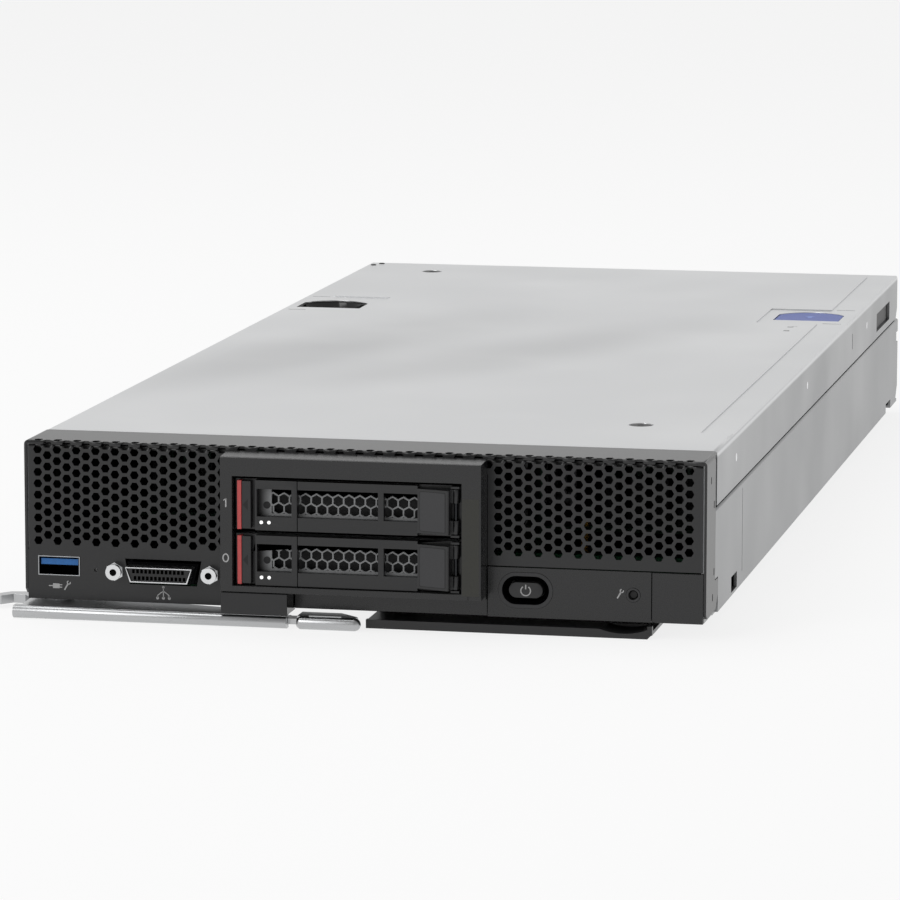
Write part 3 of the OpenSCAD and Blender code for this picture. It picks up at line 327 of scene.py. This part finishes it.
solder_mask = moulded("solder_mask_on_glass_fibre", "#12381f", "#1d5a3a", 0.35, 3.0, 0.02)
dress(solder_mask, "system_board", "port_board", "control_board", "drive_backplane", "io_adapters",
      "memory_modules")
connector_nylon = moulded("moulded_black_nylon", "#101011", "#19191a", 0.45, 1.2, 0.01)
dress(connector_nylon, "memory_sockets", "rear_connectors", "power_connector", "console_insert")
ease(0.2, "rear_connectors", "power_connector")

nickel = bright_metal("bright_nickel_plate", "#d9dadb", 0.14, 0.24, 2.5)
dress(nickel, "cover_studs", "latch_pin", "handle_pivot", "console_posts")
gold = bright_metal("gold_flash", "#d8aa4a", 0.18, 0.3, 0.6)
dress(bright_metal("dull_gold_contacts", "#5c4a26", 0.3, 0.45, 0.6), "console_contacts")
dress(bright_metal("turned_brass", "#b98d3c", 0.22, 0.4, 0.5, (1, 1, 6)), "standoffs")
dress(bright_metal("plated_socket_frame", "#b9b7ae", 0.26, 0.38, 8), "processor_sockets")
dress(bright_metal("extruded_aluminium", "#9b9c9e", 0.28, 0.42, 1.2, (1, 0.03, 1)), "heat_sinks")


def blade_rows(name, low, high, columns, rows, blade, finish):
    """Blades of one width and height in mm, in columns and rows within a pocket, along y."""
    mesh = bmesh.new()
    for column in range(columns):
        for row in range(rows):
            x = low[0] + (column + 0.5) * (high[0] - low[0]) / columns
            z = low[2] + (row + 0.5) * (high[2] - low[2]) / rows
            made = bmesh.ops.create_cube(mesh, size=1)["verts"]
            for vert in made:
                vert.co = Vector((x + vert.co.x * blade[0] * MM,
                                  low[1] + (vert.co.y + 0.5) * (high[1] - low[1]),
                                  z + vert.co.z * blade[1] * MM))
    return finished(name, mesh, finish, "chassis")


# Gold blades stand in the two signal pockets at the rear, and nickel ones in the power pockets
wall = 3.4 * MM                # of each connector's housing, with a little room
plug_low, plug_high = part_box("rear_connectors")
pocket_w = 58 * MM
for side, x0 in (("left", plug_low.x), ("right", plug_high.x - pocket_w)):
    blade_rows(side + "_signal_blades", (x0 + wall, plug_high.y - 9.2 * MM, plug_low.z + wall),
               (x0 + pocket_w - wall, plug_high.y - 2.5 * MM, plug_high.z - wall),
               columns=20, rows=5, blade=(0.35, 1.7), finish=gold)
plug_low, plug_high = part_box("power_connector")
middle_x = (plug_low.x + plug_high.x) / 2
pocket_w = 15 * MM
for side, x0 in (("left", plug_low.x + wall), ("right", middle_x + 2 * MM)):
    blade_rows(side + "_power_blades", (x0, plug_high.y - 11 * MM, plug_low.z + wall),
               (x0 + pocket_w, plug_high.y - 3 * MM, plug_high.z - wall),
               columns=3, rows=1, blade=(1.2, 7.4), finish=nickel)


# ---------------------------------------------------------------------------
# Front shroud, perforated sheets and pull-out tab: steel under a satin black powder coat. The
# coat has a fine even grain, and it shines at a low angle, as along the front of the top.
# ---------------------------------------------------------------------------

powder_coat = moulded("satin_black_powder_coat", "#1a1a1b", "#222223", 0.30, 0.7, 0.006)
dress(powder_coat, "front_shroud", "left_grille", "right_grille", "pull_out_tab", "tab_guides")
ease(0.12, "front_shroud", "left_grille", "right_grille", segments=1)
ease(0.2, "pull_out_tab", "tab_guides")


# ---------------------------------------------------------------------------
# Ports on the left: a USB port with a blue tongue, a console connector with a plated shell on a
# black flange, two hollow posts, a reset button behind its pinhole, and pale printed pictograms.
# ---------------------------------------------------------------------------

def shell_metal_with_painted_shade(name, front, back, front_y):
    """Plated shell in its own colour up to a depth along y, in metres, and near black behind it as painted
    shade inside the shell.
    """
    made, tree, shader = surface(name, front, 0.2, 1.0)
    place = add_node(tree, "ShaderNodeTexCoord")
    parts = add_node(tree, "ShaderNodeSeparateXYZ", links={"Vector": place.outputs["Object"]})
    depth = add_node(tree, "ShaderNodeMapRange",
                     {"From Min": front_y - 0.05 * MM, "From Max": front_y + 0.05 * MM},
                     {"Value": parts.outputs["Y"]})
    tone = add_node(tree, "ShaderNodeMix", {"data_type": "RGBA", 6: linear(front), 7: linear(back)},
                    {0: depth.outputs["Result"]})
    tree.links.new(tone.outputs[2], shader.inputs["Base Color"])
    marks = add_node(tree, "ShaderNodeTexNoise", {"Scale": 1000 / 1.5, "Detail": 2.0},
                     {"Vector": place.outputs["Object"]})
    sheen = add_node(tree, "ShaderNodeMapRange",
                     {"From Min": 0.3, "From Max": 0.7, "To Min": 0.16, "To Max": 0.28},
                     {"Value": marks.outputs["Fac"]})
    tree.links.new(sheen.outputs["Result"], shader.inputs["Roughness"])
    return made


face_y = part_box("left_grille")[0].y
usb_low, usb_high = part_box("usb_port")
# Inside, past the front rims, the shells are painted shade.
dress(shell_metal_with_painted_shade("plated_usb_shell_painted_shade", "#a9abad", "#08080a", usb_low.y + 0.12 * MM), "usb_port")
dress(shell_metal_with_painted_shade("plated_console_shell_painted_shade", "#d4d5d6", "#0c0c0d", face_y - 0.75 * MM), "console_connector")
ease(0.1, "console_connector", "usb_port", segments=1)
dress(moulded("moulded_blue_nylon", "#155a9c", "#1c6cb4", 0.38, 1.0, 0.008), "usb_tongue")
dress(moulded("moulded_white_plastic", "#d8d8d6", "#ececea", 0.4, 0.8, 0.006, 1.48), "reset_button")

# Four leaf springs lie on the floor of the USB shell and hold the plug
spring_w, spring_l, spring_t, spring_pitch = 0.9 * MM, 5 * MM, 0.22 * MM, 2.9 * MM
spring_y = usb_low.y + 1.2 * MM
spring_z = usb_low.z + 0.4 * MM
for i in range(4):
    x = usb_low.x + 2.4 * MM + spring_pitch * i
    solid(f"usb_spring_{i + 1}", (x, spring_y, spring_z),
          (x + spring_w, spring_y + spring_l, spring_z + spring_t), nickel, "chassis", 0.05)


def turned(name, profile, centre, finish, body, axis="y", sides=32):
    """A turned piece from radius and depth pairs in mm, about an axis through its centre."""
    mesh = bmesh.new()
    rings = []
    for radius, depth in profile:
        ring = []
        for k in range(sides):
            a = radius * cos(2 * pi * k / sides) * MM
            b = radius * sin(2 * pi * k / sides) * MM
            offset = (a, depth * MM, b) if axis == "y" else (a, b, depth * MM)
            ring.append(mesh.verts.new(Vector(centre) + Vector(offset)))
        rings.append(ring)
    for first, second in zip(rings, rings[1:]):
        for k in range(sides):
            mesh.faces.new((first[k], first[(k + 1) % sides], second[(k + 1) % sides], second[k]))
    mesh.faces.new(rings[0])
    mesh.faces.new(rings[-1])
    return finished(name, mesh, finish, body)


# A thread fills each post's bore: a blind plug with a zigzag edge, near black as painted shade in the bore
post_low, post_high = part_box("console_posts")
post_r = 2.85 * MM             # over the corners of the nut behind each post
post_z = (post_low.z + post_high.z) / 2
thread_steel_painted_shade = bright_metal("thread_steel_with_painted_shade", "#0d0d0e", 0.4, 0.5, 0.5)
thread_r, thread_depth, half_pitch = 1.08, 0.12, 0.2
thread = [(thread_r - thread_depth * (k % 2), 0.25 + half_pitch * k) for k in range(20)]
for side, x in (("left", post_low.x + post_r), ("right", post_high.x - post_r)):
    turned(side + "_post_thread", thread, (x, post_low.y, post_z), thread_steel_painted_shade, "chassis")


def applied(name, shapes, origin, across, up, height_mm, finish, body):
    """Flat outlines in mm, laid on a surface and raised a little: print, foil or a thin plate."""
    across, up = Vector(across).normalized(), Vector(up).normalized()
    raised = across.cross(up) * height_mm * MM
    mesh = bmesh.new()
    for shape in shapes:
        flat = [Vector(origin) + (across * u + up * v) * MM for u, v in shape]
        low = [mesh.verts.new(p) for p in flat]
        high = [mesh.verts.new(p + raised) for p in flat]
        mesh.faces.new(high)
        mesh.faces.new(low[::-1])
        for k in range(len(shape)):
            j = (k + 1) % len(shape)
            mesh.faces.new((low[k], low[j], high[j], high[k]))
    return finished(name, mesh, finish, body)


def stroke(points, width):
    """The outline of a line of that width through the points, all in mm."""
    left, right = [], []
    for k, (u, v) in enumerate(points):
        before, after = points[max(k - 1, 0)], points[min(k + 1, len(points) - 1)]
        du, dv = after[0] - before[0], after[1] - before[1]
        length = (du * du + dv * dv) ** 0.5
        du, dv = du / length * width / 2, dv / length * width / 2
        left.append((u - dv, v + du))
        right.append((u + dv, v - du))
    return left + right[::-1]


def arc(u, v, radius, start, end, steps=20):
    """Points on an arc about (u, v), angles in degrees."""
    return [(u + radius * cos(radians(start + (end - start) * k / steps)),
             v + radius * sin(radians(start + (end - start) * k / steps))) for k in range(steps + 1)]


def disc(u, v, radius):
    """A round outline about (u, v)."""
    return arc(u, v, radius, 0, 360, 20)[:-1]


def rounded(u0, v0, u1, v1, radius):
    """A rectangle with round corners."""
    corners = ((u1 - radius, v0 + radius), (u1 - radius, v1 - radius),
               (u0 + radius, v1 - radius), (u0 + radius, v0 + radius))
    return [point for k, (u, v) in enumerate(corners)
            for point in arc(u, v, radius, 90 * k - 90, 90 * k, 4)]


def spanner(u, v):
    """A small slanted spanner about (u, v)."""
    return [stroke([(u - 0.75, v - 1.2), (u + 0.35, v + 0.7)], 0.42),
            stroke(arc(u + 0.65, v + 1.15, 0.5, 100, 380, 12), 0.32)]


# Ink is about 0.01 mm thick; drawn 0.03 mm so that it stays clear of the face
pale_print = moulded("pale_grey_screen_print", "#a8a8a8", "#b8b8b8", 0.5, 0.5, 0.003)
print_mm = 0.03
RIGHT, UP, REAR = (1, 0, 0), (0, 0, 1), (0, 1, 0)
usb_x = (usb_low.x + usb_high.x) / 2
line = 0.3                     # width of the printed lines, mm
plug_sign = [stroke([(-3.4, 0), (-2.0, 0)], line), rounded(-2.1, -0.75, 0.1, 0.75, 0.2),
             stroke([(0.1, 0.38), (0.9, 0.38)], line), stroke([(0.1, -0.38), (0.9, -0.38)], line)]
applied("usb_pictogram", plug_sign + spanner(2.4, 0), (usb_x, face_y, 4.5 * MM), RIGHT, UP, print_mm,
        pale_print, "chassis")
console_x = sum(v.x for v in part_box("console_insert")) / 2
tree_sign = ([disc(0, 1.7, 0.42), stroke([(0, 1.6), (0, -1.6)], line)]
             + [stroke([(0, 0.5), (way * 0.9, -0.1), (way * 1.75, -0.8), (way * 1.9, -1.6)], line)
                for way in (-1, 1)]
             + [disc(way * 1.9, -1.7, 0.48) for way in (-1, 0, 1)])
applied("network_pictogram", tree_sign, (console_x, face_y, 3.6 * MM), RIGHT, UP, print_mm, pale_print,
        "chassis")


# ---------------------------------------------------------------------------
# Drive bay frame and badge block: black ABS mouldings, the frame with a fine spark-eroded texture,
# the block polished. The frame carries the two bay numbers and an olive strip in print.
# ---------------------------------------------------------------------------

textured_abs = moulded("spark_textured_black_abs", "#1b1b1c", "#242425", 0.26, 0.6, 0.008)
dress(textured_abs, "drive_bay_frame", "control_panel", "service_plate")
ease(0.2, "drive_bay_frame", "control_panel", "service_plate")
gloss_abs = moulded("gloss_black_abs", "#101012", "#151517", 0.10, 6, 0.002)
dress(gloss_abs, "badge_block", "finger_cup")
ease(0.3, "badge_block", "finger_cup")

bay_low, bay_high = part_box("drive_bay_frame")
olive_print = moulded("olive_screen_print", "#22221c", "#2b2b24", 0.34, 0.6, 0.005)
applied("olive_strip", [rounded(-5.9, -0.7, -0.65, 29.4, 0.1)],
        (bay_high.x, bay_low.y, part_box("lower_carrier")[0].z), RIGHT, UP, print_mm, olive_print,
        "chassis")
for bay, digit in (("lower", "0"), ("upper", "1")):
    low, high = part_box(bay + "_carrier")
    if digit == "0":
        halves = [[(0.72 * u, v) for u, v in arc(0, 0, 1.2, start, start + 180, 16)] for start in (-90, 90)]
        shapes = [stroke(half, 0.38) for half in halves]
    else:
        shapes = [stroke([(0.12, -1.35), (0.12, 1.35)], 0.38), stroke([(0.1, 1.25), (-0.6, 0.75)], 0.32)]
    number_at = (bay_low.x + 1.75 * MM, bay_low.y, (low.z + high.z) / 2 + 0.6 * MM)
    applied(bay + "_bay_number", shapes, number_at, RIGHT, UP, print_mm, pale_print, "chassis")


# ---------------------------------------------------------------------------
# Drive carriers: black mouldings, each with a grey painted honeycomb, a red stripe, two lights,
# a grey light guide, and a lever with a bare plate on its slanted end and a dark steel pin.
# ---------------------------------------------------------------------------

carrier_abs = moulded("fine_black_abs", "#1a1a1b", "#232324", 0.34, 0.5, 0.008)
dress(carrier_abs, "lower_carrier", "upper_carrier", "lower_lever", "upper_lever", "lower_catch",
      "upper_catch", "power_button")
ease(0.15, "lower_carrier", "upper_carrier", "lower_lever", "upper_lever", "lower_catch",
     "upper_catch", "power_button")
# The drive cases are near black: painted shade for the depth seen through the honeycomb.
drive_case_painted_shade = moulded("drive_case_with_painted_shade", "#070708", "#0c0c0d", 0.6, 0.5, 0.01)
dress(drive_case_painted_shade, "lower_drive", "upper_drive")
dress(bright_metal("blackened_pin_steel", "#3c3d3f", 0.4, 0.5, 0.4), "lower_pin", "upper_pin")

# The solid end of the grille is the light guide: painted shade on its hollow face, nearly black at its left
# and pale at its right
grey_paint = moulded("satin_grey_paint", "#7e7f80", "#8c8d8e", 0.42, 1.0, 0.006)
tree = grey_paint.node_tree
shader = tree.nodes["Principled BSDF"]
guide_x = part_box("lower_grille")[0].x
place = add_node(tree, "ShaderNodeTexCoord")
parts = add_node(tree, "ShaderNodeSeparateXYZ", links={"Vector": place.outputs["Object"]})
guide = add_node(tree, "ShaderNodeMapRange", {"From Min": guide_x + 0.9 * MM, "From Max": guide_x + 4.3 * MM},
                 {"Value": parts.outputs["X"]})
shaded = add_node(tree, "ShaderNodeMix", {"data_type": "RGBA", 6: linear("#0a0a0b")},
                  {0: guide.outputs["Result"], 7: tree.nodes["Tone"].outputs[2]})
tree.links.new(shaded.outputs[2], shader.inputs["Base Color"])
dress(grey_paint, "lower_grille", "upper_grille")

red_plastic = moulded("moulded_red_stripe", "#b94848", "#c65252", 0.42, 1.0, 0.006, 1.48)
dress(red_plastic, "lower_stripe", "upper_stripe")
ease(0.12, "lower_stripe", "upper_stripe")
light_window_painted_glow = moulded("clear_light_window_painted_glow", "#f0f0f0", "#f6f6f6", 0.15, 0.8, 0.002)
light_shader = light_window_painted_glow.node_tree.nodes["Principled BSDF"]
# The windows glow a little: a painted glow, not a lamp.
light_shader.inputs["Emission Color"].default_value = linear("#ffffff")
light_shader.inputs["Emission Strength"].default_value = 0.5
dress(light_window_painted_glow, "lower_lights", "upper_lights")

# Matt black for print and parts, also used as painted shade for the light guides' holes
black_ink_and_shade = moulded("matt_black_ink_and_painted_shade", "#050506", "#080809", 0.6, 0.6, 0.003)
plate_foil = moulded("dark_grey_plate", "#2b2b2d", "#323234", 0.36, 0.7, 0.004)
for bay in ("lower", "upper"):
    carrier_low, carrier_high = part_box(bay + "_carrier")
    lever_low, lever_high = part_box(bay + "_lever")
    catch_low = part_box(bay + "_catch")[0]
    grille_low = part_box(bay + "_grille")[0]
    middle_z = (carrier_low.z + carrier_high.z) / 2
    applied(bay + "_catch_arrow", [[(0.35, 0), (1.95, -1.75), (1.95, 1.75)]],
            (catch_low.x, catch_low.y, middle_z), RIGHT, UP, print_mm, black_ink_and_shade, bay + "_catch")
    # A black disc stands in for the light guide's round hole: painted shade.
    applied(bay + "_guide_hole_painted_shade", [disc(2.9, -0.35, 1.15)],
            (grille_low.x, grille_low.y, middle_z), RIGHT, UP, 0.05, black_ink_and_shade, bay + "_drive_unit")
    # The lever's thick end runs 9.9 mm to the right and 3 mm forward; its plate has a black border
    slope_x, slope_y = 9.9, 3
    end_x, end_y = lever_high.x - 13.05 * MM, lever_low.y + slope_y * MM
    for part, inset, lift, finish in (("edge", 0.0, 0.03, black_ink_and_shade), ("face", 0.18, 0.06, plate_foil)):
        applied(f"{bay}_plate_{part}", [rounded(0.7 + inset, -6.2 + inset, 9.7 - inset, 6.2 - inset, 0.4)],
                (end_x, end_y, middle_z), (slope_x, -slope_y, 0), UP, lift, finish, bay + "_lever")


# ---------------------------------------------------------------------------
# Control panel: the power button sits in a ring with a satin rim and a polished funnel, the mode
# button in a small ring. A power sign and a spanner are printed in pale grey.
# ---------------------------------------------------------------------------

ring_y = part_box("power_ring")[0].y
ring_abs = moulded("polished_funnel_abs", "#252526", "#2c2c2e", 0.35, 0.6, 0.002)
tree = ring_abs.node_tree
shader = tree.nodes["Principled BSDF"]
place = add_node(tree, "ShaderNodeTexCoord")
parts = add_node(tree, "ShaderNodeSeparateXYZ", links={"Vector": place.outputs["Object"]})
inner = add_node(tree, "ShaderNodeMapRange", {"From Min": ring_y + 0.1 * MM, "From Max": ring_y + 0.25 * MM},
                 {"Value": parts.outputs["Y"]})
deep = add_node(tree, "ShaderNodeMix", {"data_type": "RGBA", 7: linear("#020203")},
                {0: inner.outputs["Result"], 6: tree.nodes["Tone"].outputs[2]})
tree.links.new(deep.outputs[2], shader.inputs["Base Color"])
polish = add_node(tree, "ShaderNodeMapRange", {"To Min": 0.35, "To Max": 0.07},
                  {"Value": inner.outputs["Result"]})
tree.links.new(polish.outputs["Result"], shader.inputs["Roughness"])
dress(ring_abs, "power_ring", "mode_button_ring")
ease(0.15, "power_ring", "mode_button_ring")
dress(black_ink_and_shade, "mode_button")

button_low, button_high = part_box("power_button")
power_sign = [stroke(arc(0, -0.15, 1.5, 125, 415, 36), 0.36), stroke([(0, 0.35), (0, 1.75)], 0.36)]
applied("power_sign", power_sign,
        ((button_low.x + button_high.x) / 2, button_low.y, (button_low.z + button_high.z) / 2), RIGHT, UP,
        print_mm, pale_print, "power_button")
mode_low, mode_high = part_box("mode_button_ring")
panel_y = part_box("control_panel")[0].y
applied("service_pictogram", spanner(0, 0), (mode_low.x - 2.0 * MM, panel_y, (mode_low.z + mode_high.z) / 2),
        RIGHT, UP, print_mm, pale_print, "chassis")


# ---------------------------------------------------------------------------
# Cam handle: a zinc-plated steel lever plate with a satin silver grip and a sliding catch.
# The grip and catch are drawn bar, brushed along their length.
# ---------------------------------------------------------------------------

satin_silver = bright_metal("satin_anodised_silver", "#b9babb", 0.24, 0.34, 1.0, (0.05, 1, 1))
dress(satin_silver, "handle_grip", "handle_catch")
ease(0.2, "handle_grip", "handle_catch")
dress(rolled_steel("zinc_plated_lever_plate", "#b4b5b6", "#c2c3c4", 0.3, 0.02), "handle_lever")
ease(0.25, "handle_lever", segments=3)


# ---------------------------------------------------------------------------
# Top cover: zinc-plated steel sheet with a shallow step round its raised middle, black plugs and
# rivets, a gloss black finger cup on the left and a blue moulded latch on the right.
# ---------------------------------------------------------------------------

cover_steel = rolled_steel("zinc_plated_cover_with_painted_light", "#cfd0d1", "#e0e1e2", 0.33, 0.35)
tree = cover_steel.node_tree
shader = tree.nodes["Principled BSDF"]
place = add_node(tree, "ShaderNodeTexCoord")
parts = add_node(tree, "ShaderNodeSeparateXYZ", links={"Vector": place.outputs["Object"]})
# Two slow dark streaks run from the left towards the front: painted reflections in the base colour. Each has
# a centre and a half size in metres, a direction in degrees and a depth of tone.
left_painted_reflection = ((-0.066, -0.02), (0.034, 0.13), 70, 0.35)
middle_painted_reflection = ((0.0, -0.02), (0.030, 0.12), 62, 0.28)
painted_reflection_tone = tree.nodes["Tone"].outputs[2]
for centre, size, turn, depth in (left_painted_reflection, middle_painted_reflection):
    spot = add_node(tree, "ShaderNodeMapping",
                    {"vector_type": "TEXTURE", "Location": (*centre, 0.05), "Scale": (*size, 1),
                     "Rotation": (0, 0, radians(turn - 90))},
                    {"Vector": place.outputs["Object"]})
    reach = add_node(tree, "ShaderNodeVectorMath", {"operation": "LENGTH"}, {0: spot.outputs["Vector"]})
    painted_reflection = add_node(tree, "ShaderNodeMapRange",
                     {"interpolation_type": "SMOOTHSTEP", "From Min": 1.3, "From Max": 0.1,
                      "To Min": 0.0, "To Max": depth},
                     {"Value": reach.outputs["Value"]})
    mixed = add_node(tree, "ShaderNodeMix", {"data_type": "RGBA", 7: linear("#8e8f90")},
                     {0: painted_reflection.outputs["Result"], 6: painted_reflection_tone})
    painted_reflection_tone = mixed.outputs[2]
# The skirt is painted a darker grey than the top: painted shade for the darker surroundings it reflects
skirt = add_node(tree, "ShaderNodeMapRange",
                 {"From Min": cover_high.z - 2.2 * MM, "From Max": cover_high.z - 1.2 * MM},
                 {"Value": parts.outputs["Z"]})
both = add_node(tree, "ShaderNodeMix", {"data_type": "RGBA", 6: linear("#939495")},
                {0: skirt.outputs["Result"], 7: painted_reflection_tone})
tree.links.new(both.outputs[2], shader.inputs["Base Color"])
dress(cover_steel, "top_cover")
ease(0.15, "top_cover")

# Two plugs sit in holes of the cover, and two rivets stand at its rear left corner
for name, x, y in (("rear_plug", cover_low.x + 30.8 * MM, cover_high.y - 27.7 * MM),
                   ("front_plug", cover_high.x - 32.2 * MM, cover_low.y + 49.4 * MM)):
    turned(name, [(3.9, -0.48), (3.9, -0.3), (3.4, -0.12), (1.2, -0.1), (0.9, -0.25)],
           (x, y, cover_high.z), connector_nylon, "cover", "z")
for k, (x, y) in enumerate(((2.5, 8.4), (4.8, 3.2))):
    turned(f"rear_rivet_{k + 1}", [(1.15, -0.4), (1.15, -0.2), (0.8, -0.05), (0.2, -0.02)],
           (cover_low.x + x * MM, cover_high.y - y * MM, cover_high.z), black_ink_and_shade, "cover",
           "z")

# Two padlocks are marked in front of the latch, the open one nearer to it
grey_etch = moulded("grey_laser_mark", "#6a6a6a", "#767676", 0.5, 0.5, 0.002)
latch_low, latch_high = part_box("cover_latch")
latch_x = (latch_low.x + latch_high.x) / 2
padlock = [rounded(-1.1, -1.3, 1.1, 0.3, 0.2)]
for name, shackle, ahead in (("open_padlock", arc(1.4, 0.7, 0.8, 0, 180, 10), 22),
                             ("closed_padlock", arc(0, 0.3, 0.8, 0, 180, 10), 33)):
    applied(name, padlock + [stroke(shackle, 0.3)],
            (latch_x - 2.6 * MM, latch_low.y - ahead * MM, cover_high.z - 0.01 * MM),
            RIGHT, REAR, 0.02, grey_etch, "cover")

dress(moulded("moulded_blue_latch", "#30489c", "#3a55ac", 0.40, 1.0, 0.008), "cover_latch")
ease(0.3, "cover_latch")
pale_blue = moulded("pale_blue_print", "#6f86cc", "#7b90d2", 0.45, 0.6, 0.003)
arrow = [(-2.2, 0), (0, 2.6), (2.2, 0), (0.8, 0), (0.8, -2.4), (-0.8, -2.4), (-0.8, 0)]
applied("latch_arrow", [arrow], (latch_x, latch_low.y + 12 * MM, latch_high.z), RIGHT, REAR, print_mm,
        pale_blue, "cover_latch")
